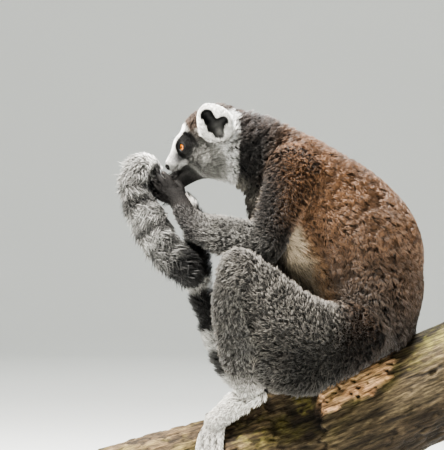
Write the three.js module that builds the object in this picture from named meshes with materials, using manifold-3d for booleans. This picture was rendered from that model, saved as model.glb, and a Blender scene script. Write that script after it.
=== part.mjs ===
// Ring-tailed lemur, life size, sitting hunched on a sloping branch and holding its tail to its mouth.
// The branch is a short cut length, held over a flat base by two rods.
// Millimetres, +Z up. The animal faces -X and its left side is at -Y. The origin is the middle of the base's underside.
import * as THREE from "three";
import { mergeVertices } from "three/addons/utils/BufferGeometryUtils.js";
import Module from "manifold-3d";

const wasm = await Module();
wasm.setup();

// ---------------------------------------------------------------- sizes
const UNIT = 1.1; // millimetres in one unit of the side-view drawing
const U0 = 300,
  V0 = 575; // drawing position of the origin, u to the right and v down
const GAP = 0.55; // gap left between neighbouring solids
const EYE_R = 7.6;
const BRANCH_R = 53; // branch radius, in drawing units
const BASE = { length: 300, width: 196, thick: 16, corner: 14 };
const ROD_R = 6.5;

// Side-view stations: u, v, y in millimetres, in-plane radius in units, width over height.
const TRUNK = [
  [270, 155, 0, 35, 1.1],
  [300, 178, 0, 45, 1.06],
  [333, 207, 0, 55, 1.0],
  [350, 227, 0, 61, 0.96],
  [364, 247, 0, 62.5, 0.97],
  [369, 270, 0, 59.5, 1.01],
  [371, 292, 0, 56, 1.08],
  [366, 322, 0, 52, 1.14],
];
const BELLY = [
  [266, 176, 0, 23, 1.2],
  [275, 208, 0, 30, 1.25],
  [294, 246, 0, 36, 1.2],
  [318, 285, 0, 42, 1.15],
  [335, 322, 0, 42, 1.2],
];
const NECK = [
  [226, 140, 0, 30, 0.95],
  [249, 145, 0, 34.5, 0.98],
  [270, 158, 0, 37, 1.06],
];
const THROAT = [
  [204, 157, 0, 18, 1.2],
  [222, 157.5, 0, 22, 1.12],
  [240, 161, 0, 25, 1.08],
  [259, 171, 0, 26, 1.1],
];
// Left limbs. The right ones mirror them, moved by FAR_SHIFT along the branch.
const UPPER_ARM = [
  [293, 172, -36, 27, 0.85],
  [284, 196, -45, 25.5, 0.82],
  [274, 222, -52, 22.5, 0.85],
  [265, 242, -54, 20.5, 0.95],
];
const FOREARM = [
  [265, 243, -54, 21, 0.95],
  [242, 240, -46, 21.5, 0.88],
  [222, 235.5, -39, 20.5, 0.85],
  [205, 230, -32, 17.5, 0.85],
  [192, 222, -26, 13.5, 0.88],
  [183, 210, -22, 10.5, 0.9],
];
const THIGH = [
  [350, 332, -40, 36, 0.85],
  [318, 340, -56, 42, 0.78],
  [284, 324, -68, 41, 0.7],
  [257, 290, -77, 31, 0.75],
  [240, 269, -80, 21, 0.95],
];
const HAM = [
  [345, 340, -44, 31, 0.9],
  [302, 361, -56, 35, 0.85],
  [274, 361, -58, 29, 0.85],
];
const SHANK = [
  [238, 269, -80, 21, 0.95],
  [235, 296, -76, 24.5, 0.82],
  [240, 330, -66, 27, 0.78],
  [246, 360, -52, 24, 0.8],
  [248, 386, -42, 15, 0.95],
];
const FOOT = [
  [252, 393, -40, 12, 0.95],
  [239, 401, -38, 12.5, 0.9],
  [226, 411, -37, 12, 0.95],
  [214, 421, -41, 10, 1.1],
];
const PALM = [
  [184, 209, -22, 9.8, 0.9],
  [179, 201, -19.5, 9.5, 0.75],
  [173, 194, -17.5, 7.5, 0.75],
];
const FINGERS = [
  [[177, 195, -17, 3.9, 1], [172, 185, -17, 3.6, 1], [168, 178, -14.5, 3.2, 1], [164.5, 174, -9, 2.7, 1]],
  [[173, 195, -17.5, 4.1, 1], [166, 186, -17.5, 3.8, 1], [161, 179, -15, 3.3, 1], [157, 175, -9, 2.8, 1]],
  [[171, 197, -17.5, 4, 1], [162, 191, -17, 3.7, 1], [156, 186, -14, 3.2, 1], [152.5, 182, -8, 2.7, 1]],
  [[172, 201, -16, 3.7, 1], [164, 199, -15, 3.4, 1], [158, 196, -11.5, 3, 1], [155, 192, -6, 2.6, 1]],
  [[181, 199, -15, 4, 1], [182, 190, -13, 3.7, 1], [179, 184.5, -9, 3.3, 1], [175, 181.5, -4, 2.8, 1]],
];
const TOES = [
  [[216, 419, -38, 4.6, 1], [207, 426, -44, 4.3, 1], [201, 438, -50, 4, 1], [199.5, 450, -58, 3.7, 1], [201, 458, -61.5, 3.2, 1]],
  [[216, 421, -41, 4.6, 1], [210, 430, -46, 4.4, 1], [206.5, 442, -53, 4.1, 1], [206.5, 453, -60, 3.8, 1], [208, 462, -62.5, 3.3, 1]],
  [[218, 422, -42, 4.6, 1], [214.5, 432, -47, 4.4, 1], [213, 443, -53.5, 4.1, 1], [213.5, 453, -60, 3.8, 1], [215, 461, -62.5, 3.3, 1]],
  [[221, 421, -42, 4.4, 1], [220, 431, -47, 4.1, 1], [219.5, 440, -52.5, 3.8, 1], [220.5, 449, -58, 3.5, 1], [222, 456, -61, 3, 1]],
  [[235, 405, -28, 6, 1], [226, 410.5, -20, 5.4, 1], [217, 413.5, -13, 5, 1], [209, 416, -8, 4.2, 1]],
];
const FAR_SHIFT = { leg: 7, arm: -1 };
// Tail, from its root under the rump, forward between the legs, up to the hands, over and down again.
const TAIL = [
  [398, 326, 0, 13, 1],
  [386, 340, 0, 11, 1],
  [364, 351, 0, 9.5, 1.1],
  [340, 362, 0, 9.5, 1.1],
  [316, 372, 0, 9.5, 1.1],
  [292, 380, 0, 10, 1.1],
  [268, 385, 0, 11, 1],
  [247, 384, 0, 12, 1],
  [231, 372, 0, 13, 1],
  [221, 354, 1, 13.5, 1],
  [214, 335, 2, 14, 1],
  [209, 316, 3, 14, 1],
  [203, 300, 4, 14.5, 1],
  [199, 284, 5, 15, 1],
  [198, 266, 5, 15.5, 1],
  [197, 247, 5, 15, 1],
  [195, 229, 4, 14, 1],
  [191, 214, 3, 13, 1],
  [186, 204, 2, 11.5, 1],
  [179, 198, 1, 10, 1],
  [170, 193, 0, 9.5, 1],
  [161, 186, 0, 10.5, 1],
  [154, 177, 0, 12.5, 1],
  [148, 171, -2, 17, 1],
  [142, 173, -5, 21.5, 1],
  [140, 184, -8, 23.5, 1],
  [142, 200, -11, 25, 1],
  [148, 217, -17, 26, 1],
  [156, 234, -23, 26, 1],
  [167, 250, -27, 24.5, 1],
  [180, 262, -30, 20, 1],
  [188, 270, -31, 14.5, 1],
  [194, 276, -31, 8, 1],
];
// Station numbers where one length of the tail ends and the next begins.
const TAIL_CUTS = [0, 7, 12.5, 17.5, 21, 25.5, 28.5, 32];
const BRANCH = [
  [492, 360],
  [468, 372],
  [407, 398],
  [350, 428],
  [282, 456],
  [216, 473],
  [160, 487],
  [106, 503],
];

// The head's own frame: s forward to the nose, t up, both in units from the nose tip.
const NOSE = { u: 165, v: 168 },
  HEAD_F = [-0.84, 0.5426],
  HEAD_T = [-0.5426, -0.84];
const MUZZLE = [
  [-4.6, -0.8, 0, 4.7, 1.1],
  [-12, -1.2, 0, 9.7, 0.88],
  [-21, -0.5, 0, 13, 0.88],
  [-33, 0, 0, 18, 0.95],
];
const JAW = [
  [204, 164.5, 0, 14, 1],
  [192, 172, 0, 10.5, 0.95],
  [182.5, 180, 0, 7.6, 1],
  [177.5, 184, 0, 6, 1.05],
];
// Ellipsoids of the head: centre along s, t and y, then the radii, in units.
const BROW = { s: -29.5, t: 5.5, y: 0, r: [14.5, 15, 17] };
const CRANIUM = { s: -55, t: 4, y: 0, r: [29, 28, 28] };
const CHEEK = { s: -44, t: -15, y: 11, r: [21, 23, 17] };
const OCCIPUT = { s: -73, t: 0, y: 0, r: [21, 28, 25] };
const EAR = { s: -66, t: 13, y: 35, r: [18, 22.5, 8.5], tilt: 16, turn: 12 };
const EYE = { s: -30, t: 6.1, y: 14.6 };

// ---------------------------------------------------------------- drawing to space
const at = (u, v, y = 0) => [(u - U0) * UNIT, y, (V0 - v) * UNIT];
const headAt = (s, t, y = 0) =>
  at(NOSE.u + s * HEAD_F[0] + t * HEAD_T[0], NOSE.v + s * HEAD_F[1] + t * HEAD_T[1], y);
const inHead = (rows) =>
  rows.map(([s, t, y, r, k]) => [
    NOSE.u + s * HEAD_F[0] + t * HEAD_T[0],
    NOSE.v + s * HEAD_F[1] + t * HEAD_T[1],
    y,
    r,
    k,
  ]);
const mirrored = (rows, shift = 0) => rows.map(([u, v, y, r, k]) => [u + shift, v, -y, r, k]);

// ---------------------------------------------------------------- distance fields
// A smooth row of balls with changing radius and width, through its stations.
function splined(rows, steps = 4) {
  const out = [],
    n = rows.length;
  for (let i = 0; i < n - 1; i++) {
    const p = [rows[Math.max(0, i - 1)], rows[i], rows[i + 1], rows[Math.min(n - 1, i + 2)]];
    for (let k = 0; k < steps; k++) {
      const t = k / steps;
      out.push(
        rows[i].map((_, c) => {
          const [a, b, d, e] = p.map((q) => q[c]);
          return 0.5 * (2 * b + (d - a) * t + (2 * a - 5 * b + 4 * d - e) * t * t + (3 * b - a - 3 * d + e) * t * t * t);
        }),
      );
    }
  }
  out.push(rows[n - 1]);
  return out;
}
function chain(rows, steps = 4) {
  const pts = splined(rows, steps).map(([u, v, y, r, k]) => [...at(u, v, y), r * UNIT, k]);
  const seg = [];
  for (let i = 0; i < pts.length - 1; i++) {
    const [ax, ay, az, ar, ak] = pts[i],
      [bx, by, bz, br, bk] = pts[i + 1];
    const dx = bx - ax,
      dy = by - ay,
      dz = bz - az;
    seg.push([ax, ay, az, dx, dy, dz, 1 / (dx * dx + dy * dy + dz * dz), ar, br - ar, ak, bk - ak]);
  }
  const lo = [Infinity, Infinity, Infinity],
    hi = [-Infinity, -Infinity, -Infinity];
  for (const [x, y, z, r, k] of pts)
    [x, y, z].forEach((c, i) => {
      lo[i] = Math.min(lo[i], c - r * Math.max(1, k));
      hi[i] = Math.max(hi[i], c + r * Math.max(1, k));
    });
  const f = (x, y, z) => {
    let best = 1e9;
    for (const [ax, ay, az, dx, dy, dz, inv, r, dr, k, dk] of seg) {
      let t = ((x - ax) * dx + (y - ay) * dy + (z - az) * dz) * inv;
      t = t < 0 ? 0 : t > 1 ? 1 : t;
      const qx = x - ax - t * dx,
        qy = (y - ay - t * dy) / (k + t * dk),
        qz = z - az - t * dz;
      const d = Math.sqrt(qx * qx + qy * qy + qz * qz) - r - t * dr;
      if (d < best) best = d;
    }
    return best;
  };
  f.box = [lo, hi];
  f.pts = pts;
  return f;
}
// An ellipsoid given in the head's frame.
function headBall({ s, t, y, r }) {
  const [cx, cy, cz] = headAt(s, t, y),
    a = r[0] * UNIT,
    b = r[1] * UNIT,
    c = r[2] * UNIT;
  const f = (px, py, pz) => {
    const dx = (px - cx) * 1,
      dz = -(pz - cz);
    const ls = (dx * HEAD_F[0] + dz * HEAD_F[1]) / a,
      lt = (dx * HEAD_T[0] + dz * HEAD_T[1]) / b,
      ly = (py - cy) / c;
    const k0 = Math.sqrt(ls * ls + lt * lt + ly * ly),
      k1 = Math.sqrt((ls / a) ** 2 + (lt / b) ** 2 + (ly / c) ** 2);
    return k1 < 1e-9 ? -Math.min(a, b, c) : (k0 * (k0 - 1)) / k1;
  };
  const m = Math.max(a, b, c);
  f.box = [
    [cx - m, cy - m, cz - m],
    [cx + m, cy + m, cz + m],
  ];
  return f;
}
const smin = (a, b, k) => {
  const h = Math.max(k - Math.abs(a - b), 0) / k;
  return Math.min(a, b) - h * h * k * 0.25;
};
const blend = (k, ...fs) => {
  const f = (x, y, z) => {
    let d = fs[0](x, y, z);
    for (let i = 1; i < fs.length; i++) d = smin(d, fs[i](x, y, z), k);
    return d;
  };
  f.box = hull(fs.map((g) => g.box));
  return f;
};
const hull = (boxes) => [
  [0, 1, 2].map((i) => Math.min(...boxes.map((b) => b[0][i]))),
  [0, 1, 2].map((i) => Math.max(...boxes.map((b) => b[1][i]))),
];

// ---------------------------------------------------------------- meshing
// Marching tetrahedra: always one closed, oriented surface.
const TETS = [
  [0, 5, 1, 7],
  [0, 1, 3, 7],
  [0, 3, 2, 7],
  [0, 2, 6, 7],
  [0, 6, 4, 7],
  [0, 4, 5, 7],
];
function meshOf(field, h, iso = 0, box = field.box) {
  const pad = Math.max(0, iso) + 2.2 * h;
  const lo = box[0].map((c) => c - pad),
    n = box[1].map((c, i) => Math.ceil((c + pad - lo[i]) / h) + 1);
  const val = new Float32Array(n[0] * n[1] * n[2]);
  let q = 0;
  for (let k = 0; k < n[2]; k++)
    for (let j = 0; j < n[1]; j++)
      for (let i = 0; i < n[0]; i++) {
        let d = field(lo[0] + i * h, lo[1] + j * h, lo[2] + k * h) - iso;
        if (Math.abs(d) < 1e-3 * h) d = 1e-3 * h;
        val[q++] = d;
      }
  const id = (i, j, k) => i + n[0] * (j + n[1] * k),
    pos = [],
    tri = [],
    made = new Map();
  const point = (a, b) => {
    const key = a < b ? a * 67108864 + b : b * 67108864 + a;
    let v = made.get(key);
    if (v === undefined) {
      const t = val[a] / (val[a] - val[b]);
      const c = [a, b].map((g) => [g % n[0], Math.floor(g / n[0]) % n[1], Math.floor(g / (n[0] * n[1]))]);
      v = pos.length / 3;
      for (let m = 0; m < 3; m++) pos.push(lo[m] + h * (c[0][m] + t * (c[1][m] - c[0][m])));
      made.set(key, v);
    }
    return v;
  };
  for (let k = 0; k < n[2] - 1; k++)
    for (let j = 0; j < n[1] - 1; j++)
      for (let i = 0; i < n[0] - 1; i++) {
        const c = [];
        let inside = 0;
        for (let m = 0; m < 8; m++) {
          c[m] = id(i + (m & 1), j + ((m >> 1) & 1), k + (m >> 2));
          inside += val[c[m]] < 0;
        }
        if (inside === 0 || inside === 8) continue;
        for (const T of TETS) {
          const inn = [],
            out = [];
          for (const m of T) (val[c[m]] < 0 ? inn : out).push(m);
          if (!inn.length || !out.length) continue;
          const faces = [];
          if (inn.length === 1) faces.push(out.map((o) => [inn[0], o]));
          else if (out.length === 1) faces.push(inn.map((o) => [o, out[0]]));
          else {
            const [a, b] = inn,
              [d, e] = out;
            faces.push([[a, d], [a, e], [b, e]], [[a, d], [b, e], [b, d]]);
          }
          // Faces look from the inside corners to the outside ones.
          const mid = (list) => [0, 1, 2].map((x) => list.reduce((s, m) => s + ((m >> x) & 1), 0) / list.length);
          const mi = mid(inn),
            mo = mid(out);
          for (const f of faces) {
            const ids = f.map(([a, b]) => point(c[a], c[b]));
            if (ids[0] === ids[1] || ids[1] === ids[2] || ids[0] === ids[2]) continue;
            const half = f.map(([a, b]) => [0, 1, 2].map((x) => (((a >> x) & 1) + ((b >> x) & 1)) / 2));
            const e1 = half[1].map((x, y) => x - half[0][y]),
              e2 = half[2].map((x, y) => x - half[0][y]);
            const nn = [e1[1] * e2[2] - e1[2] * e2[1], e1[2] * e2[0] - e1[0] * e2[2], e1[0] * e2[1] - e1[1] * e2[0]];
            const s = nn.reduce((t, x, y) => t + x * (mo[y] - mi[y]), 0);
            tri.push(...(s > 0 ? ids : [ids[0], ids[2], ids[1]]));
          }
        }
      }
  return { pos, tri };
}
// Quadric edge collapse that keeps the surface closed.
function thin(mesh, target, limit = Infinity) {
  const P = Float64Array.from(mesh.pos),
    F = Int32Array.from(mesh.tri),
    nv = P.length / 3,
    nf = F.length / 3;
  const vf = Array.from({ length: nv }, () => new Set()),
    alive = new Uint8Array(nf).fill(1),
    Q = new Float64Array(nv * 10),
    stamp = new Int32Array(nv);
  const normal = (a, b, c, o) => {
    const ux = P[b] - P[a],
      uy = P[b + 1] - P[a + 1],
      uz = P[b + 2] - P[a + 2],
      vx = P[c] - P[a],
      vy = P[c + 1] - P[a + 1],
      vz = P[c + 2] - P[a + 2];
    o[0] = uy * vz - uz * vy;
    o[1] = uz * vx - ux * vz;
    o[2] = ux * vy - uy * vx;
  };
  const o = [0, 0, 0];
  // A face's height over its longest side, from twice its area.
  const height = (f, twice) => {
    let far = 1e-12;
    for (let k = 0; k < 3; k++) {
      const a = 3 * F[3 * f + k],
        b = 3 * F[3 * f + ((k + 1) % 3)];
      far = Math.max(far, Math.hypot(P[a] - P[b], P[a + 1] - P[b + 1], P[a + 2] - P[b + 2]));
    }
    return twice / far;
  };
  for (let f = 0; f < nf; f++) {
    for (let k = 0; k < 3; k++) vf[F[3 * f + k]].add(f);
    normal(3 * F[3 * f], 3 * F[3 * f + 1], 3 * F[3 * f + 2], o);
    const L = Math.hypot(...o) || 1e-12,
      a = o[0] / L,
      b = o[1] / L,
      c = o[2] / L,
      p = 3 * F[3 * f],
      d = -(a * P[p] + b * P[p + 1] + c * P[p + 2]),
      w = limit < Infinity ? Math.min(1, Math.max(0, (height(f, L) - 0.04) / 0.4)) : L;
    const q = [a * a, a * b, a * c, a * d, b * b, b * c, b * d, c * c, c * d, d * d];
    for (let k = 0; k < 3; k++) for (let m = 0; m < 10; m++) Q[F[3 * f + k] * 10 + m] += w * q[m];
  }
  const err = (A, B, x, y, z) => {
    const g = (m) => Q[A * 10 + m] + Q[B * 10 + m];
    return (
      g(0) * x * x + 2 * g(1) * x * y + 2 * g(2) * x * z + 2 * g(3) * x + g(4) * y * y + 2 * g(5) * y * z + 2 * g(6) * y + g(7) * z * z + 2 * g(8) * z + g(9)
    );
  };
  const best = (A, B) => {
    const g = (m) => Q[A * 10 + m] + Q[B * 10 + m];
    const mx = (P[3 * A] + P[3 * B]) / 2,
      my = (P[3 * A + 1] + P[3 * B + 1]) / 2,
      mz = (P[3 * A + 2] + P[3 * B + 2]) / 2;
    const len2 = (P[3 * A] - P[3 * B]) ** 2 + (P[3 * A + 1] - P[3 * B + 1]) ** 2 + (P[3 * A + 2] - P[3 * B + 2]) ** 2;
    // Solve for the quadric's lowest point, held a little to the edge's middle.
    const e = 1e-3 * (g(0) + g(4) + g(7)) + 1e-9;
    const a = g(0) + e,
      b = g(1),
      c = g(2),
      d = g(4) + e,
      f = g(5),
      i = g(7) + e;
    const r0 = -g(3) + e * mx,
      r1 = -g(6) + e * my,
      r2 = -g(8) + e * mz;
    const det = a * (d * i - f * f) - b * (b * i - f * c) + c * (b * f - d * c);
    let x = mx,
      y = my,
      z = mz;
    if (Math.abs(det) > 1e-12) {
      x = (r0 * (d * i - f * f) - b * (r1 * i - f * r2) + c * (r1 * f - d * r2)) / det;
      y = (a * (r1 * i - f * r2) - r0 * (b * i - f * c) + c * (b * r2 - r1 * c)) / det;
      z = (a * (d * r2 - r1 * f) - b * (b * r2 - r1 * c) + r0 * (b * f - d * c)) / det;
      if ((x - mx) ** 2 + (y - my) ** 2 + (z - mz) ** 2 > len2) [x, y, z] = [mx, my, mz];
    }
    return [Math.max(0, err(A, B, x, y, z)) + (limit < Infinity ? 1e-7 : 1e-4) * len2, x, y, z];
  };
  const heap = [];
  const push = (e) => {
    heap.push(e);
    let i = heap.length - 1;
    while (i > 0) {
      const p = (i - 1) >> 1;
      if (heap[p][0] <= heap[i][0]) break;
      [heap[p], heap[i]] = [heap[i], heap[p]];
      i = p;
    }
  };
  const pop = () => {
    const top = heap[0],
      last = heap.pop();
    if (heap.length) {
      heap[0] = last;
      let i = 0;
      for (;;) {
        let m = i;
        const l = 2 * i + 1;
        if (l < heap.length && heap[l][0] < heap[m][0]) m = l;
        if (l + 1 < heap.length && heap[l + 1][0] < heap[m][0]) m = l + 1;
        if (m === i) break;
        [heap[m], heap[i]] = [heap[i], heap[m]];
        i = m;
      }
    }
    return top;
  };
  const ring = (v) => {
    const s = new Set();
    for (const f of vf[v]) for (let k = 0; k < 3; k++) s.add(F[3 * f + k]);
    s.delete(v);
    return s;
  };
  const offer = (A, B) => {
    const [c, x, y, z] = best(A, B);
    push([c, A, B, stamp[A], stamp[B], x, y, z]);
  };
  const offerAll = () => {
    heap.length = 0;
    for (let f = 0; f < nf; f++)
      if (alive[f])
        for (let k = 0; k < 3; k++) {
          const a = F[3 * f + k],
            b = F[3 * f + ((k + 1) % 3)];
          if (a < b) offer(a, b);
        }
  };
  offerAll();
  let count = nf,
    before = nf;
  const o2 = [0, 0, 0];
  while (count > target) {
    if (!heap.length) {
      if (before - count < 4) break;
      before = count;
      offerAll();
      continue;
    }
    const [cost, A, B, sa, sb, x, y, z] = pop();
    if (cost > limit) break;
    if (stamp[A] !== sa || stamp[B] !== sb) continue;
    const ra = ring(A),
      rb = ring(B);
    let common = 0;
    for (const v of ra) common += rb.has(v);
    if (common !== 2 || ra.size + rb.size - 4 < 3) continue;
    let ok = true;
    for (const [V, W] of [
      [A, B],
      [B, A],
    ]) {
      for (const f of vf[V]) {
        const t = [F[3 * f], F[3 * f + 1], F[3 * f + 2]];
        if (t.includes(W)) continue;
        normal(3 * t[0], 3 * t[1], 3 * t[2], o);
        const keep = [P[3 * V], P[3 * V + 1], P[3 * V + 2]];
        P[3 * V] = x;
        P[3 * V + 1] = y;
        P[3 * V + 2] = z;
        normal(3 * t[0], 3 * t[1], 3 * t[2], o2);
        [P[3 * V], P[3 * V + 1], P[3 * V + 2]] = keep;
        const l1 = Math.hypot(...o),
          l2 = Math.hypot(...o2);
        if (height(f, l1) < 0.1) continue;
        if (l2 < 1e-3 || (o[0] * o2[0] + o[1] * o2[1] + o[2] * o2[2]) / (l1 * l2 + 1e-12) < 0.15) {
          ok = false;
          break;
        }
      }
      if (!ok) break;
    }
    if (!ok) continue;
    for (const f of [...vf[B]]) {
      const t = [F[3 * f], F[3 * f + 1], F[3 * f + 2]];
      if (t.includes(A)) {
        alive[f] = 0;
        count--;
        for (const v of t) vf[v].delete(f);
      } else {
        for (let k = 0; k < 3; k++) if (F[3 * f + k] === B) F[3 * f + k] = A;
        vf[A].add(f);
      }
    }
    vf[B].clear();
    P[3 * A] = x;
    P[3 * A + 1] = y;
    P[3 * A + 2] = z;
    for (let m = 0; m < 10; m++) Q[A * 10 + m] += Q[B * 10 + m];
    stamp[A]++;
    stamp[B]++;
    for (const v of ring(A)) offer(Math.min(A, v), Math.max(A, v));
  }
  const remap = new Int32Array(nv).fill(-1),
    pos = [],
    tri = [];
  for (let f = 0; f < nf; f++)
    if (alive[f])
      for (let k = 0; k < 3; k++) {
        const v = F[3 * f + k];
        if (remap[v] < 0) {
          remap[v] = pos.length / 3;
          pos.push(P[3 * v], P[3 * v + 1], P[3 * v + 2]);
        }
        tri.push(remap[v]);
      }
  return { pos, tri };
}
function swollen({ pos, tri }, by) {
  const nrm = new Float64Array(pos.length);
  for (let f = 0; f < tri.length; f += 3) {
    const [a, b, c] = [3 * tri[f], 3 * tri[f + 1], 3 * tri[f + 2]];
    const u = [0, 1, 2].map((k) => pos[b + k] - pos[a + k]),
      v = [0, 1, 2].map((k) => pos[c + k] - pos[a + k]);
    const n = [u[1] * v[2] - u[2] * v[1], u[2] * v[0] - u[0] * v[2], u[0] * v[1] - u[1] * v[0]];
    for (const p of [a, b, c]) for (let k = 0; k < 3; k++) nrm[p + k] += n[k];
  }
  const out = pos.slice();
  for (let p = 0; p < pos.length; p += 3) {
    const L = Math.hypot(nrm[p], nrm[p + 1], nrm[p + 2]) || 1;
    for (let k = 0; k < 3; k++) out[p + k] += (by * nrm[p + k]) / L;
  }
  return { pos: out, tri };
}
const solid = ({ pos, tri }) =>
  new wasm.Manifold(
    new wasm.Mesh({ numProp: 3, vertProperties: Float32Array.from(pos), triVerts: Uint32Array.from(tri) }),
  );
// The same solid with its slivers merged away, moved by no more than a tenth of a millimetre or so.
function tidy(s, limit = 0.04) {
  const m = s.getMesh(),
    n = m.numProp,
    pos = new Float32Array(m.numVert * 3);
  for (let i = 0; i < m.numVert; i++) pos.set(m.vertProperties.subarray(i * n, i * n + 3), i * 3);
  const g = new THREE.BufferGeometry();
  g.setAttribute("position", new THREE.BufferAttribute(pos, 3));
  g.setIndex(new THREE.BufferAttribute(new Uint32Array(m.triVerts), 1));
  const q = mergeVertices(g, 1e-5);
  const t = thin({ pos: Array.from(q.attributes.position.array), tri: Array.from(q.index.array) }, 40, limit);
  return solid(t);
}
const solidOf = (geometry, place = new THREE.Matrix4()) => {
  const g = geometry.clone().applyMatrix4(place);
  g.deleteAttribute("normal");
  g.deleteAttribute("uv");
  const m = mergeVertices(g, 1e-4);
  return new wasm.Manifold(
    new wasm.Mesh({ numProp: 3, vertProperties: Float32Array.from(m.attributes.position.array), triVerts: Uint32Array.from(m.index.array) }),
  );
};
// A solid pushed out along its own normals.
function grown(s, by) {
  const m = s.getMesh(),
    n = m.numProp,
    pos = [];
  for (let i = 0; i < m.numVert; i++) pos.push(...m.vertProperties.subarray(i * n, i * n + 3));
  const g = new THREE.BufferGeometry();
  g.setAttribute("position", new THREE.Float32BufferAttribute(pos, 3));
  g.setIndex(new THREE.BufferAttribute(new Uint32Array(m.triVerts), 1));
  const q = mergeVertices(g, 1e-5);
  return solid(swollen({ pos: Array.from(q.attributes.position.array), tri: Array.from(q.index.array) }, by));
}
const largest = (s) => s.decompose().sort((a, b) => b.volume() - a.volume())[0];
// The half space beyond a point, as a large box, for trimming.
function beyond(point, normal, back = 0, size = 400) {
  const n = new THREE.Vector3(...normal).normalize();
  const m = new THREE.Matrix4().compose(
    new THREE.Vector3(...point).addScaledVector(n, size / 2 + back),
    new THREE.Quaternion().setFromUnitVectors(new THREE.Vector3(0, 0, 1), n),
    new THREE.Vector3(1, 1, 1),
  );
  return solidOf(new THREE.BoxGeometry(size, size, size), m);
}

// ---------------------------------------------------------------- the branch and its stand
const branchCurve = new THREE.CatmullRomCurve3(
  BRANCH.map(([u, v]) => new THREE.Vector3(...at(u, v, 0))),
  false,
  "catmullrom",
  0.5,
);
function branchSolid(extra = 0) {
  const sides = 18,
    rings = 13,
    pos = [],
    tri = [];
  const { tangents } = branchCurve.computeFrenetFrames(rings - 1, false);
  for (let i = 0; i < rings; i++) {
    const t = i / (rings - 1),
      p = branchCurve.getPointAt(t);
    const dir = tangents[i],
      side = new THREE.Vector3(0, 1, 0),
      up = new THREE.Vector3().crossVectors(dir, side).normalize().negate();
    if (up.z < 0) up.negate();
    const e = i === 0 ? -extra : i === rings - 1 ? extra : 0;
    for (let j = 0; j < sides; j++) {
      const a = (2 * Math.PI * j) / sides,
        r = BRANCH_R * UNIT * (1 + 0.018 * Math.sin(3 * a + 5 * t) + 0.012 * Math.sin(5 * a - 7 * t)) + extra;
      pos.push(
        p.x + dir.x * e + up.x * r * Math.cos(a) + side.x * r * Math.sin(a),
        p.y + dir.y * e + up.y * r * Math.cos(a) + side.y * r * Math.sin(a),
        p.z + dir.z * e + up.z * r * Math.cos(a) + side.z * r * Math.sin(a),
      );
    }
  }
  const head = pos.length / 3;
  for (const [t, s] of [
    [0, -1],
    [1, 1],
  ]) {
    const p = branchCurve.getPointAt(t).addScaledVector(branchCurve.getTangentAt(t), s * extra);
    pos.push(p.x, p.y, p.z);
  }
  for (let i = 0; i < rings - 1; i++)
    for (let j = 0; j < sides; j++) {
      const a = i * sides + j,
        b = i * sides + ((j + 1) % sides),
        c = a + sides,
        d = b + sides;
      tri.push(a, b, d, a, d, c);
    }
  for (let j = 0; j < sides; j++) {
    const k = (j + 1) % sides,
      last = (rings - 1) * sides;
    tri.push(head, k, j, head + 1, last + j, last + k);
  }
  const s = solid({ pos, tri });
  if (s.volume() > 0) return s;
  for (let f = 0; f < tri.length; f += 3) [tri[f + 1], tri[f + 2]] = [tri[f + 2], tri[f + 1]];
  return solid({ pos, tri });
}
const branch = branchSolid(0),
  branchRoom = branchSolid(GAP);

// ---------------------------------------------------------------- the animal as one body
const nearArm = blend(6, chain(UPPER_ARM), chain(FOREARM)),
  farArm = blend(6, chain(mirrored(UPPER_ARM)), chain(mirrored(FOREARM)));
const nearLeg = blend(8, chain(THIGH), chain(HAM), chain(SHANK)),
  farLeg = blend(8, chain(mirrored(THIGH, 3)), chain(mirrored(HAM, 5)), chain(mirrored(SHANK, FAR_SHIFT.leg)));
const cheekFar = { ...CHEEK, y: -CHEEK.y };
const headField = blend(
  6,
  headBall(CRANIUM),
  blend(4, chain(inHead(MUZZLE)), headBall(BROW)),
  blend(6, headBall(CHEEK), headBall(cheekFar)),
  headBall(OCCIPUT),
);
const jawField = chain(JAW),
  throatField = chain(THROAT);
const trunkField = blend(14, chain(TRUNK), chain(BELLY));
const neckField = chain(NECK);
const whole = (() => {
  const shoulder = at(290, 170, 0),
    hip = at(345, 335, 0);
  const near = (x, z, c, r) => Math.max(0, 1 - Math.hypot(x - c[0], z - c[2]) / r);
  const f = (x, y, z) => {
    let d = smin(smin(trunkField(x, y, z), neckField(x, y, z), 7), throatField(x, y, z), 8);
    const h = smin(headField(x, y, z), jawField(x, y, z), 3);
    d = smin(d, h, 7);
    const ka = 1.5 + 14 * near(x, z, shoulder, 75),
      kl = 1.5 + 16 * near(x, z, hip, 90);
    d = smin(d, y < 0 ? nearArm(x, y, z) : farArm(x, y, z), ka);
    return smin(d, y < 0 ? nearLeg(x, y, z) : farLeg(x, y, z), kl);
  };
  f.box = hull([trunkField.box, neckField.box, throatField.box, headField.box, jawField.box, nearArm.box, farArm.box, nearLeg.box, farLeg.box]);
  return f;
})();
const bodyMesh = thin(meshOf(whole, 5), 1650);
let body = solid(bodyMesh);

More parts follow.
